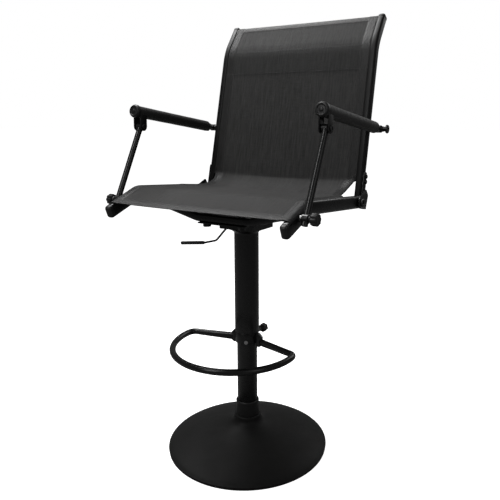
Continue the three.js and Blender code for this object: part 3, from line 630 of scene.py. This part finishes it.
def build_clamp():
    bush = filleted([(25.3, 268), (26.5, 268), (26.5, CLAMP_TOP), (25.3, CLAMP_TOP)], 0.3, 2, closed=True)
    Piece().lathe(bush, closed=True).done("bush_liner", "plastic", "footrest_slider", "footrest_bush")
    clamp = Piece()
    body = filleted([(26.8, CLAMP_LOW + 8), (CLAMP_RADIUS, CLAMP_LOW + 8), (CLAMP_RADIUS, CLAMP_TOP),
                     (26.8, CLAMP_TOP)], 1, 3, closed=True)
    clamp.lathe(body, closed=True)
    for sign in SIDES.values():
        ear = [(27.5, CLAMP_TOP - 1), (36, CLAMP_TOP - 2), (LUG_REACH, 287), (LUG_REACH, 266),
               (38, CLAMP_LOW), (31, CLAMP_LOW), (27.5, 272)]
        clamp.plate(filleted([(sign * x, z) for x, z in ear], 3, 4, closed=True), "y", -6, 6, 2.2)
    boss = [(4.6, 0), (8.2, 0), (9, 0.8), (9, 11.4), (8.2, 12.2), (4.6, 12.2)]
    clamp.lathe(boss, (0, 27.6, KNOB_Z), Y_AXIS, 40, closed=True)
    clamp.done("clamp_casting", "powder", "footrest", "footrest_clamp")


def build_hoop():
    front = arc((0, HOOP_CENTRE_Y), HOOP_REACH, math.pi, 2 * math.pi, 72)
    shoulders = {sign: bezier((sign * 132, -24), (sign * HOOP_REACH, HOOP_CENTRE_Y + 23),
                              front[0] if sign < 0 else front[-1], 18) for sign in (-1, 1)}
    root = LUG_REACH - 4
    line = [(-root, -2), *shoulders[-1][:-1], *front, *reversed(shoulders[1][:-1]), (root, -2)]
    path = [(p[0], p[1], HOOP_Z) for p in line]
    length = sum((Vector(b) - Vector(a)).length for a, b in zip(path, path[1:]))

    def pressed(distance):
        """The tube's ends are pressed flat and tall where they enter the clamp."""
        near = max(0.0, 1 - min(distance, length - distance) / 42)
        return 1 + 0.25 * near, 1 - 0.35 * near

    Piece().sweep(circle(HOOP_TUBE, 36), path, Z_AXIS, (1, 1), pressed).done(
        "hoop_tube", "powder", "footrest", "footrest_hoop")


def build_clamp_knob():
    """The small screw in the clamp's front, and the knob behind the column."""
    screw = Piece().lathe([(0, 0), (2.6, 0.1), (4.2, 0.9), (4.8, 2.2), (4.8, 3), (0, 3)], (14, -25.4, 277),
                          (0.48, -0.877, 0), 32)
    screw = screw.done("clamp_screw", "zinc", "footrest")
    head = filleted([(4, 36), (6.5, 38), (8, 39), (11, 42), (11, 54), (8.5, 56.5)], 1.2, 3)
    knob = Piece().lathe([(0, 0), (3.6, 0), (4, 0.5), (4, 34), *head, (5.5, 56.5), (5, 55.6), (0, 55.6)],
                         (0, 28, KNOB_Z), Y_AXIS, 96, lobes=(6, 1.6, 8.2))
    knob.done("clamp_knob", "plastic", "footrest_clamp_knob", "footrest_knob")


# ---------------- seat frame

def rail_centre(y):
    return RAIL_REAR[1] + (RAIL_REAR[0] - y) * RAIL_SLOPE


def rail_line(above, rear, front, steps):
    """The rail's line at a distance above its centre line: from `rear` forward, round the bend, and on
    for the straight length `front`."""
    tilt = math.atan(RAIL_SLOPE)
    centre = (RAIL_BEND_Y - RAIL_BEND_RADIUS * math.sin(tilt),
              rail_centre(RAIL_BEND_Y) - RAIL_BEND_RADIUS * math.cos(tilt))
    start = math.pi / 2 - tilt
    bend = arc(centre, RAIL_BEND_RADIUS + above, start, start + RAIL_BEND_TURN, steps)
    back = Vector((rear + above * math.sin(tilt), rail_centre(rear) + above * math.cos(tilt)))
    down = RAIL_BEND_TURN - tilt
    forward = Vector((-math.cos(down), -math.sin(down)))
    return [back, *bend, *[bend[-1] + forward * d for d in spaced(0, front, steps)[1:]]]


def in_plane(points, x):
    return [(x, p[0], p[1]) for p in points]


def build_crossbars():
    for name, y, end_z in (("front_crossbar", -BAR_Y, 628), ("rear_crossbar", BAR_Y, 620)):
        corners = [(-BAR_END_X, y, end_z), (-BAR_FLAT, y, BAR_MIDDLE_Z), (BAR_FLAT, y, BAR_MIDDLE_Z),
                   (BAR_END_X, y, end_z)]
        section = box_section(BAR_DEPTH, BAR_HEIGHT, 4.5)
        bead = box_section(BAR_DEPTH + 3, BAR_HEIGHT + 3, 5.5)
        bar = Piece().sweep(section, filleted(corners, 60, 10), Y_AXIS, (1, 1))
        for sign in SIDES.values():
            # A weld bead runs round the bar where it meets the rail.
            end = Vector((sign * BAR_END_X, y, end_z))
            away = Vector((sign * (BAR_END_X - BAR_FLAT), 0, end_z - BAR_MIDDLE_Z)).normalized()
            bar.sweep(bead, [end - away * 3.4, end], Y_AXIS, (1.6, 0.4))
        bar.done(f"{name}_tube", "powder", "carriage", name)


def build_rail(side, sign):
    line = rail_line(0, RAIL_REAR[0], RAIL_FRONT, 14)
    x = sign * RAIL_X
    Piece().sweep(box_section(RAIL_WIDTH, RAIL_HEIGHT, 5), in_plane(line, x), X_AXIS, (1, 0.5)).done(
        f"{side}_rail_tube", "powder", "carriage", f"{side}_seat_rail")
    tip = Vector(line[-1])
    away = (tip - Vector(line[-2])).normalized()
    cap = [tip + away * d for d in (0.3, 5, 13)]
    Piece().sweep(box_section(RAIL_WIDTH, RAIL_HEIGHT, 5.5), in_plane(cap, x), X_AXIS, (0.5, 8.5)).done(
        f"{side}_rail_plug", "plastic", "carriage", f"{side}_rail_cap")


# ---------------- backrest

def upright_point(behind, along):
    """A point beside the upright's centre line: `behind` it, and `along` it from the hinge's level."""
    low = min(along, UPRIGHT_STRAIGHT)
    high = along - low
    up, back = Vector((math.sin(RECLINE), math.cos(RECLINE))), Vector((math.cos(RECLINE), -math.sin(RECLINE)))
    head_up = Vector((math.sin(HEAD_RECLINE), math.cos(HEAD_RECLINE)))
    head_back = Vector((math.cos(HEAD_RECLINE), -math.sin(HEAD_RECLINE)))
    if high > 0:
        return HINGE + up * low + head_up * high + back * UPRIGHT_OFFSET + head_back * behind
    return HINGE + up * low + back * (UPRIGHT_OFFSET + behind)


def build_back_bars():
    for name, along in (("upper_back_bar", UPPER_BAR), ("lower_back_bar", LOWER_BAR)):
        y, z = upright_point(3, along)
        reach = UPRIGHT_X - UPRIGHT_WIDTH / 2 - 0.2
        bar = Piece().sweep(circle(BACK_BAR_RADIUS, 36), [(-reach, y, z), (reach, y, z)], Z_AXIS, (0.6, 0.6))
        for sign in SIDES.values():
            weld = [(sign * (reach - 3), y, z), (sign * reach, y, z)]
            bar.sweep(circle(BACK_BAR_RADIUS + 1.4, 36), weld, Z_AXIS, (1.2, 1.2))
        bar.done(f"{name}_tube", "powder", "backrest", name)


def build_upright(side, sign):
    x = sign * UPRIGHT_X
    cap_length = 9
    ends = [upright_point(0, a) for a in (-UPRIGHT_BELOW, UPRIGHT_STRAIGHT, UPRIGHT_STRAIGHT + HEAD_LENGTH)]
    head = (ends[2] - ends[1]).normalized()
    line = filleted(in_plane([ends[0], ends[1], ends[2] - head * cap_length], x), 132, 16)
    tube = Piece().sweep(box_section(UPRIGHT_WIDTH, UPRIGHT_DEPTH, 5), line, X_AXIS, (1, 0.6))
    tube.done(f"{side}_upright_tube", "dull_powder", "backrest", f"{side}_upright")
    cap = in_plane([ends[2] - head * (cap_length - 0.4), ends[2] - head * 4, ends[2]], x)
    cap = Piece().sweep(box_section(UPRIGHT_WIDTH + 0.6, UPRIGHT_DEPTH + 0.6, 5.5), cap, X_AXIS, (0.5, 5))
    cap.done(f"{side}_upright_plug", "plastic", "backrest")


def socket_head(piece, face_x, sign, place, radius, height):
    """A round cap screw's head with a hollow for its key, standing out from a face."""
    profile = [(0, 0), (radius, 0), (radius, height - 0.8), (radius - 0.8, height), (radius * 0.52, height),
               (radius * 0.48, height - 0.4), (radius * 0.46, height * 0.45), (0, height * 0.45)]
    piece.lathe(profile, (face_x, place[0], place[1]), (sign, 0, 0), 40)


def build_hinge(side, sign):
    """The casting screwed to the upright's foot, whose eye turns on the rail's bolt."""
    outer = UPRIGHT_X + UPRIGHT_WIDTH / 2 + 0.3
    front, rear = -UPRIGHT_DEPTH / 2, UPRIGHT_DEPTH / 2

    def between(a, b):
        return sorted((sign * a, sign * b))

    casting = Piece()
    eye = arc(HINGE, 15, 0.6 * math.pi, 1.75 * math.pi, 28)
    foot = [upright_point(rear - 15, -UPRIGHT_BELOW - 2), upright_point(rear - 10, 24),
            upright_point(front, 34)]
    casting.plate([*eye, *foot], "x", *between(HINGE_CHEEK, HINGE_CHEEK + 4), 1.2)
    web = [upright_point(front + 3, -UPRIGHT_BELOW), upright_point(rear - 6, -UPRIGHT_BELOW - 2),
           upright_point(rear, 24), upright_point(front + 3, 24)]
    casting.plate(filleted(web, 3, 4, closed=True), "x", *between(outer, HINGE_CHEEK + 1), 0.8)
    tail = [upright_point(front + 2, -UPRIGHT_BELOW), upright_point(rear - 2, -UPRIGHT_BELOW),
            upright_point(rear - 2, 78), upright_point(front + 2, 78)]
    casting.plate(filleted(tail, 6, 6, closed=True), "x", *between(outer, outer + 3.2), 1)
    # A raised rim follows the eye, as on a die casting.
    rim = arc(HINGE, 12.6, 0.62 * math.pi, 1.7 * math.pi, 28)
    casting.sweep(circle(1.5, 14), in_plane(rim, sign * (HINGE_CHEEK + 3.6)), X_AXIS, (1.2, 1.2))
    for along in (54, 67):
        socket_head(casting, sign * (outer + 3), sign, upright_point(3, along), 5.4, 3)
    casting.done(f"{side}_hinge_block", "powder", "backrest", f"{side}_hinge_casting")


def build_hinge_bolt(side, sign):
    bolt = Piece()
    bolt.lathe([(0, 0), (4, 0), (4, 23), (0, 23)], (sign * (RAIL_X - 14), *HINGE), (sign, 0, 0), 32)
    bolt.lathe([(0, 0), (7.2, 0), (8, 0.8), (8, 4), (7.4, 4.7), (0, 4.7)], (sign * (RAIL_X - 14), *HINGE),
               (sign, 0, 0), 6)
    socket_head(bolt, sign * (HINGE_CHEEK + 4.3), sign, HINGE, 9, 4.7)
    bolt.done(f"{side}_hinge_screw", "powder", "carriage", f"{side}_hinge_bolt")


# ---------------- armrests

def arm_point(sign, along):
    """A point of an armrest's centre line, `along` it from its rear pivot."""
    y, z = ARM_PIVOT + Vector((-along * math.cos(ARM_SLOPE), along * math.sin(ARM_SLOPE)))
    return Vector((sign * ARM_X, y, z))


def build_arm(side, sign):
    """The armrest's tube, with its rear eye and the clevis that hangs from its front."""
    x = sign * ARM_X

    def flattened(distance):
        """The tube is pressed tall towards its rear eye."""
        near = max(0.0, 1 - distance / 26)
        return 1, 1 + 0.22 * near

    line = [arm_point(sign, along) for along in (0, 14, 28, PAD_END)]
    tube = Piece().sweep(circle(ARM_TUBE, 28), line, X_AXIS, (1, 1), flattened)
    tube.lathe(drum(EYE_RADIUS, EYE_HALF), (x, *ARM_PIVOT), X_AXIS, 40)
    y, z = CLEVIS
    clevis_top = z + 24
    ear = [*arc(CLEVIS, 11, -math.pi, 0, 20), (y + 11, z + 30), (y - 11, z + 32)]
    for offset in (EAR_GAP, -EAR_GAP - EAR_THICKNESS):
        tube.plate(ear, "x", x + offset, x + offset + EAR_THICKNESS, 0.8)
    bridge = [(x - EAR_GAP - 2, y - 11), (x + EAR_GAP + 2, y - 11),
              (x + EAR_GAP + 2, y + 11), (x - EAR_GAP - 2, y + 11)]
    tube.plate(bridge, "z", clevis_top, clevis_top + 5, 1)
    tube.done(f"{side}_arm_bracket", "powder", f"{side}_arm", f"{side}_arm_tube")


def build_arm_pad(side, sign):
    """The foam sleeve, with rolled ends and a shallow waist, between its ferrule and its end cap."""
    body = f"{side}_arm"
    forward = (0, -math.cos(ARM_SLOPE), math.sin(ARM_SLOPE))
    foam_start = PAD_START + 17
    profile = [(ARM_TUBE + 0.4, 0.5), (PAD_RADIUS - 2.4, 0.2), (PAD_RADIUS - 0.8, 1.2)]
    for t in spaced(0, 1, 40):
        swell = 0.28 * math.cos(t * 9 * math.pi) * math.sin(t * math.pi)
        profile.append((PAD_RADIUS - 0.1 - 0.35 * math.sin(t * math.pi) + swell * 0.35,
                        3 + t * (PAD_END - foam_start - 6)))
    end = PAD_END - foam_start
    profile += [(PAD_RADIUS - 0.8, end - 1.2), (PAD_RADIUS - 2.4, end - 0.2), (ARM_TUBE + 0.4, end - 0.2)]
    pad = Piece().lathe(profile, arm_point(sign, foam_start), forward, 56, closed=True)
    pad = pad.done(f"{side}_foam_grip", "foam", body, f"{side}_arm_pad")
    ferrule = [(0, 0), (8.6, 0), (9.6, 0.8), (10, 5), (13.6, 14), (14.1, 15), (14.1, 17), (0, 17)]
    ferrule = Piece().lathe(ferrule, arm_point(sign, PAD_START), forward, 56)
    ferrule.done(f"{side}_arm_ferrule", "plastic", body)
    dome = filleted([(0, 0), (ARM_CAP_RADIUS - 1.2, 0), (ARM_CAP_RADIUS, 1.4), (ARM_CAP_RADIUS, 7),
                     (ARM_CAP_RADIUS - 2.4, 11), (ARM_CAP_RADIUS - 5, 11.6), (ARM_CAP_RADIUS - 6.6, 9.6),
                     (4.6, 9.8), (3.4, 11.4), (0, 11.6)], 1.4, 4)
    cap = Piece().lathe(dome, arm_point(sign, PAD_END + 0.2), forward, 64)
    cap.done(f"{side}_arm_end", "plastic", body, f"{side}_arm_cap")


def build_arm_pins(side, sign):
    """The pin through the clevis, and the bolt that hangs the armrest on the upright."""
    x = sign * ARM_X
    pin_reach = EAR_GAP + EAR_THICKNESS + 0.3
    shank = [(0, -pin_reach), (4, -pin_reach), (4, pin_reach), (0, pin_reach)]
    pin = Piece().lathe(shank, (x, *CLEVIS), X_AXIS, 32)
    socket_head(pin, x + sign * pin_reach, sign, CLEVIS, 6.5, 2.5)
    socket_head(pin, x - sign * pin_reach, -sign, CLEVIS, 6.5, 2.5)
    pin.done(f"{side}_clevis_rivet", "plastic", f"{side}_arm", f"{side}_clevis_pin")

    face = UPRIGHT_X + UPRIGHT_WIDTH / 2 + 0.3
    start = UPRIGHT_X - 14
    spacer_end = ARM_X - ARM_TUBE - 0.3
    arm_face = ARM_X + ARM_TUBE + 0.3
    nut = [(0, start), (6.7, start), (7.5, start + 0.8), (7.5, start + 4.6), (4, start + 4.7), (4, face)]
    spacer = [(6.4, face), (7, face + 0.6), (7, spacer_end - 0.6), (6.4, spacer_end), (4, spacer_end)]
    neck = [(4, arm_face), (7.2, arm_face), (6.4, 266), (5.6, 270), (6.4, 273)]
    head = [(9.8, 273.5), (10.5, 274.2), (10.5, 277.2), (9.8, 278), (5, 278), (4.4, 276.6), (0, 276.6)]
    bolt = Piece().lathe([*nut, *spacer, *neck, *head], (0, *ARM_PIVOT), (sign, 0, 0), 48)
    bolt.done(f"{side}_arm_screw", "powder", "backrest", f"{side}_arm_bolt")


def build_strut(side, sign):
    x = sign * ARM_X
    rod = Piece()
    length = (CLEVIS - STUD).length

    def pressed(distance):
        near = max(0.0, 1 - abs(length - distance + STRUT_FOOT) / 16)
        return 1, 1 + 0.2 * near

    direction = (CLEVIS - STUD).normalized()
    stops = [-STRUT_FOOT, 0, 8, 16, length / 2, length - 16, length - 8, length]
    line = in_plane([STUD + direction * d for d in stops], x)
    rod.sweep(circle(STRUT_RADIUS, 36), line, X_AXIS, (1, 1), pressed)
    for pivot, radius in ((STUD, EYE_RADIUS + 0.5), (CLEVIS, EYE_RADIUS)):
        rod.lathe(drum(radius, EYE_HALF), (x, *pivot), X_AXIS, 40)
    rod.done(f"{side}_strut_rod", "powder", f"{side}_strut", f"{side}_strut")


def build_stud(side, sign):
    """The stud that carries the strut on the rail, and the knob on its end."""
    rail_face = RAIL_X + RAIL_WIDTH / 2 + 0.3
    strut_face = ARM_X - STRUT_RADIUS - 0.3
    start = RAIL_X - 14
    nut = [(0, start), (8.4, start), (9, start + 0.7), (9, start + 4.6), (4, start + 4.7), (4, rail_face)]
    spacer = [(6.2, rail_face), (6.5, rail_face + 0.4), (6.5, strut_face - 0.4), (6.2, strut_face)]
    tip = [(4, strut_face), (4, STUD_END), (0, STUD_END)]
    stud = Piece().lathe([*nut, *spacer, *tip], (0, *STUD), (sign, 0, 0), 40)
    stud.done(f"{side}_stud_screw", "zinc", "carriage", f"{side}_strut_stud")
    neck = ARM_X + STRUT_RADIUS + 0.3
    floor = STUD_END + 0.4
    profile = [(0, floor), (4.3, floor), (4.3, neck), (6, neck), (6.5, neck + 0.5), (6.5, 264), (7.6, 267),
               (11.4, 268.2), (KNOB_RADIUS, 269.8), (KNOB_RADIUS, 280.4), (11.6, 282.4), (8.6, 283),
               (6, 282.3), (0, 282.1)]
    knob = Piece().lathe(profile, (0, *STUD), (sign, 0, 0), 120, lobes=(8, 1.6, 10))
    knob.done(f"{side}_knob_moulding", "plastic", f"{side}_strut_knob", f"{side}_strut_knob")


# ---------------- sling

def sling_line():
    """The sling in the side plane, from its front edge, over the seat, to its top edge, as (y, z) points."""
    seat = rail_line(SLING_OVER_RAIL, 70, RAIL_FRONT - 8, 14)[::-1]
    level = seat[-1]
    seat = [*seat[:-1], *[seat[-2] + (level - seat[-2]) * t for t in spaced(0, 1, 26)[1:]]]
    fold = upright_point(-SLING_FRONT_OF_UPRIGHT, FOLD_LINE)
    bow = bezier(level, (140, level[1] - 70 * RAIL_SLOPE), fold, 22)
    corners = [upright_point(-SLING_FRONT_OF_UPRIGHT, along)
               for along in (UPRIGHT_STRAIGHT, UPRIGHT_STRAIGHT + HEAD_LENGTH - 8)]
    back = filleted([fold, *corners], 110, 12)
    straight = [fold + (back[1] - fold) * t for t in spaced(0, 1, 66)]
    head = [back[-2] + (back[-1] - back[-2]) * t for t in spaced(0, 1, 14)]
    return [*seat, *bow[1:], *straight[1:], *back[2:-1], *head[1:]]


class Sling:
    """The sling's middle surface: rows along the line, each with a place, a normal, a length and a width."""

    def __init__(self):
        line = [Vector(p) for p in sling_line()]
        self.rows = []
        run = 0.0
        for i, point in enumerate(line):
            before, after = line[max(i - 1, 0)], line[min(i + 1, len(line) - 1)]
            tangent = (after - before).normalized()
            if i:
                run += (point - line[i - 1]).length
            self.rows.append({"at": point, "normal": Vector((-tangent[1], tangent[0])), "run": run,
                              "half": self.half_width(point), "up": self.up_the_back(point)})
        self.length = run

    @staticmethod
    def up_the_back(point):
        """How far along the upright a point lies, or a negative number on the seat."""
        up = Vector((math.sin(RECLINE), math.cos(RECLINE)))
        return (point - HINGE).dot(up) if point[1] > FOLD_Z else -1.0

    @staticmethod
    def half_width(point):
        """Full width over the rails, then drawn in by the cut-outs round the hinges."""
        y, z = point
        if y <= CUT_OUT[0][0]:
            return SEAT_HALF_WIDTH
        if z > FOLD_Z or y >= CUT_OUT[-1][0]:
            return BACK_HALF_WIDTH
        (y0, low), (y1, high) = next((a, b) for a, b in zip(CUT_OUT, CUT_OUT[1:]) if y <= b[0])
        return low + (high - low) * (y - y0) / (y1 - y0)

    def place(self, row, x, lift=0.0):
        """A point of the surface: it sags between the tubes and rolls over the rails' outer edges."""
        share = min(1.0, abs(x) / row["half"])
        deep = 2.0 if row["up"] > 0 else 4.0
        near_end = min(1.0, row["run"] / 120, (self.length - row["run"]) / 80)
        sag = deep * (0.35 + 0.65 * near_end) * (1 - share ** 2)
        roll = 0.5 * max(0.0, abs(x) - 236) ** 1.3 if row["half"] > 230 else 0.0
        point = row["at"] + row["normal"] * (lift - sag - roll)
        return Vector((x, *point))

    def hem(self, row, inset):
        """How much thicker the cloth is at this distance from its side edge."""
        side = min(1.0, max(0.0, HEM_WIDTH - inset) / 1.2, inset / 1.5 + 0.25) if inset < HEM_WIDTH else 0.0
        ends = min(row["run"], self.length - row["run"])
        end = min(1.0, max(0.0, 18 - ends) / 1.5, ends / 1.5 + 0.25) if ends < 18 else 0.0
        band = min(1.0, max(0.0, (row["up"] - BAND_LOW) / 3), max(0.0, (BAND_HIGH - row["up"]) / 3)) * 0.6
        return max(side, end, max(0.0, band)) * HEM_LIFT


def measure_cloth(mesh, places):
    """Keeps each vertex's place on the flat cloth, in metres, in the UV map that the weave follows."""
    layer = mesh.uv_layers.new(name="cloth")
    for loop in mesh.loops:
        layer.data[loop.index].uv = places[loop.vertex_index]


def sling_mesh(sling):
    """The cloth as two skins, joined round their edges, with finer columns along the hems."""
    insets = [0, 0.8, 2, 6, 12, 18, 22.8, HEM_WIDTH, HEM_WIDTH + 1]
    middle = 46

    def columns(half):
        left = [(-(half - i), i) for i in insets]
        inner = half - insets[-1]
        centre = [(x, half - abs(x)) for x in spaced(-inner, inner, middle)[1:-1]]
        return [*left, *centre, *[(-x, i) for x, i in reversed(left)]]

    verts, uvs, faces, kinds = [], [], [], []
    count = len(insets) * 2 + middle - 1
    for row in sling.rows:
        for face_sign in (1, -1):
            for x, inset in columns(row["half"]):
                thick = CLOTH_HALF_THICKNESS + sling.hem(row, inset)
                verts.append(sling.place(row, x, face_sign * thick) * MM)
                uvs.append((x * MM, row["run"] * MM))

    def index(r, face_sign, c):
        return (2 * r + (0 if face_sign > 0 else 1)) * count + c

    def quad(material, *corners):
        faces.append([index(*corner) for corner in corners])
        kinds.append(material)

    def material_at(r, c):
        row = sling.rows[r]
        ends = min(row["run"], sling.length - row["run"])
        if c < len(insets) - 2 or c >= count - len(insets) + 1 or ends < 17:
            return hem
        return doubled if BAND_LOW <= row["up"] <= BAND_HIGH else plain

    plain, hem, doubled = range(3)
    last = len(sling.rows) - 1
    end = count - 1
    for r in range(last):
        for c in range(end):
            material = material_at(r, c)
            quad(material, (r, 1, c), (r, 1, c + 1), (r + 1, 1, c + 1), (r + 1, 1, c))
            quad(material, (r, -1, c), (r + 1, -1, c), (r + 1, -1, c + 1), (r, -1, c + 1))
        quad(hem, (r, 1, 0), (r + 1, 1, 0), (r + 1, -1, 0), (r, -1, 0))
        quad(hem, (r, 1, end), (r, -1, end), (r + 1, -1, end), (r + 1, 1, end))
    for c in range(end):
        quad(hem, (0, 1, c), (0, -1, c), (0, -1, c + 1), (0, 1, c + 1))
        quad(hem, (last, 1, c), (last, 1, c + 1), (last, -1, c + 1), (last, -1, c))

    mesh = bpy.data.meshes.new("sling_cloth")
    mesh.from_pydata(verts, [], faces)
    measure_cloth(mesh, uvs)
    for polygon, material in zip(mesh.polygons, kinds):
        polygon.material_index = material
    return mesh


def build_sling():
    sling = Sling()
    mesh = sling_mesh(sling)
    finishes = ["mesh_fabric", "hem", "doubled"]
    cloth = place("sling_cloth", mesh, finishes, None, ["seat_sling", "back_sling"], 50)
    stitches = build_stitches(sling)
    bindings = [build_binding(sling, side, sign) for side, sign in SIDES.items()]
    for piece in (cloth, stitches, *bindings):
        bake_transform(piece)


def build_stitches(sling):
    """Rows of thread, each stitch a small pointed solid lying on the cloth."""
    pitch, long, wide, high = 3.8, 2.7, 0.42, 0.38
    verts, faces = [], []

    def stitch(centre, direction, normal, top):
        side = direction.cross(normal)
        base = len(verts)
        for offset in (direction * long / 2, -direction * long / 2, side * wide, -side * wide, normal * high,
                       -normal * high):
            verts.append((centre + normal * top + offset) * MM)
        for a, b, c in ((0, 2, 4), (2, 1, 4), (1, 3, 4), (3, 0, 4),
                        (2, 0, 5), (1, 2, 5), (3, 1, 5), (0, 3, 5)):
            faces.append([base + a, base + b, base + c])

    def lengthways(inset):
        for sign in SIDES.values():
            carried = 0.0
            for a, b in zip(sling.rows, sling.rows[1:]):
                step = b["run"] - a["run"]
                while carried < step:
                    t = carried / step
                    pa, pb = (sling.place(r, sign * (r["half"] - inset)) for r in (a, b))
                    normal = Vector((0, *a["normal"]))
                    stitch(pa.lerp(pb, t), (pb - pa).normalized(), normal,
                           CLOTH_HALF_THICKNESS + sling.hem(a, inset))
                    carried += pitch
                carried -= step

    def crossways(row):
        for x in spaced(-row["half"] + 2, row["half"] - 2, int(2 * row["half"] / pitch)):
            normal = Vector((0, *row["normal"]))
            inset = row["half"] - abs(x)
            top = CLOTH_HALF_THICKNESS + sling.hem(row, inset)
            stitch(sling.place(row, x), Vector(X_AXIS), normal, top)

    lengthways(3.5)
    lengthways(20.5)

    def nearest(key, value):
        return min(sling.rows, key=lambda row: abs(row[key] - value))

    for row in (nearest("run", 14), nearest("run", sling.length - 15), nearest("up", BAND_LOW + 5),
                nearest("up", BAND_HIGH - 5), nearest("up", FOLD_LINE)):
        crossways(row)
    mesh = bpy.data.meshes.new("sling_stitches")
    mesh.from_pydata(verts, [], faces)
    return place("sling_stitches", mesh, ["thread"], None, [])


def build_binding(sling, side, sign):
    """The folded tape that edges a cut-out beside the hinge."""
    rows = [r for r in sling.rows if r["at"][0] > 28 and r["at"][1] < 690]
    section = box_section(9, 3.8, 1.8, 3)
    path = [sling.place(r, sign * (r["half"] - 3.4)) for r in rows]
    rings = []
    for i, (row, point) in enumerate(zip(rows, path)):
        tangent = (path[min(i + 1, len(path) - 1)] - path[max(i - 1, 0)]).normalized()
        normal = Vector((0, *row["normal"]))
        across = tangent.cross(normal).normalized()
        small = 0.55 if i in (0, len(path) - 1) else 1.0
        rings.append([point + across * (u * small) + normal * (v * small) for u, v in section])
    mesh = Piece().rings(rings).mesh(f"{side}_edge_tape")
    measure_cloth(mesh, [(corner * 0.8 * MM, row["run"] * MM)
                         for row in rows for corner in range(len(section))])
    return place(f"{side}_edge_tape", mesh, ["binding"], None, [], 50)


# ---------------- stage

def build_stage():
    floor = bpy.data.meshes.new("floor")
    reach = 40.0
    floor.from_pydata([(-reach, -reach, 0), (reach, -reach, 0), (reach, reach, 0), (-reach, reach, 0)], [],
                      [(0, 1, 2, 3)])
    n = Nodes("pale floor")
    where = n.add("TexCoord").outputs["Object"]
    cloudy = n.noise(where, 3, 2)
    seen = n.add("LightPath").outputs["Is Camera Ray"]
    pale = n.mix(cloudy, grey(0.78), grey(0.82))
    n.set(Base_Color=n.mix(seen, grey(0.22), pale), Roughness=0.9)
    n.set(Emission_Color=grey(1.0), Emission_Strength=n.maths("MULTIPLY", seen, 0.98))
    floor.materials.append(n.material)
    ground = bpy.data.objects.new("floor", floor)
    bpy.context.scene.collection.objects.link(ground)

    world = bpy.data.worlds.new("studio")
    bpy.context.scene.world = world
    world.use_nodes = True
    tree = world.node_tree
    tree.nodes.clear()

    def background(level, strength):
        node = tree.nodes.new("ShaderNodeBackground")
        node.inputs["Color"].default_value = grey(level)
        node.inputs["Strength"].default_value = strength
        return node.outputs[0]

    # The camera sees white, and the chair is lit and reflected in by a dim grey room.
    chosen = tree.nodes.new("ShaderNodeMixShader")
    path = tree.nodes.new("ShaderNodeLightPath")
    output = tree.nodes.new("ShaderNodeOutputWorld")
    for source, target in zip((path.outputs["Is Camera Ray"], background(0.5, 0.3), background(1.0, 1.0)),
                              chosen.inputs):
        tree.links.new(source, target)
    tree.links.new(chosen.outputs[0], output.inputs[0])


def softbox(name, towards, distance, size, power, aim=(0, 0, 0.7)):
    data = bpy.data.lights.new(name, "AREA")
    data.shape = "RECTANGLE"
    data.size, data.size_y = size
    data.energy = power
    light = bpy.data.objects.new(name, data)
    away = Vector(towards).normalized()
    light.location = Vector(aim) + away * distance
    light.rotation_euler = away.to_track_quat("Z", "Y").to_euler()
    light.visible_camera = False
    bpy.context.scene.collection.objects.link(light)


def build_lights():
    softbox("top", (-0.45, 0.1, 0.9), 2.2, (1.3, 1.1), 58)
    softbox("key", (-0.17, -0.81, 0.56), 2.8, (0.35, 1.4), 20)
    softbox("fill", (1.0, -0.4, 0.35), 3.2, (0.8, 1.8), 6)
    softbox("rear", (0.3, 1.0, 0.5), 3.0, (1.6, 1.2), 10)


def build_camera():
    data = bpy.data.cameras.new("camera")
    data.sensor_width = 36
    data.lens = 41.12
    data.shift_x = -0.0506
    data.shift_y = -0.108
    camera = bpy.data.objects.new("camera", data)
    camera.location = (0.7675, -1.1346, 0.8203)
    camera.rotation_euler = (math.radians(90 - 7.71), 0, math.radians(31.13))
    bpy.context.scene.collection.objects.link(camera)
    bpy.context.scene.camera = camera


# ---------------- assembly

bpy.context.scene.view_settings.view_transform = "Standard"
build_camera()
build_base()
build_gas_lift()
build_lever()
build_clamp()
build_hoop()
build_clamp_knob()
build_crossbars()
build_back_bars()
for side, sign in SIDES.items():
    build_rail(side, sign)
    build_upright(side, sign)
    build_hinge(side, sign)
    build_hinge_bolt(side, sign)
    build_arm(side, sign)
    build_arm_pad(side, sign)
    build_arm_pins(side, sign)
    build_strut(side, sign)
    build_stud(side, sign)
build_sling()
build_stage()
build_lights()
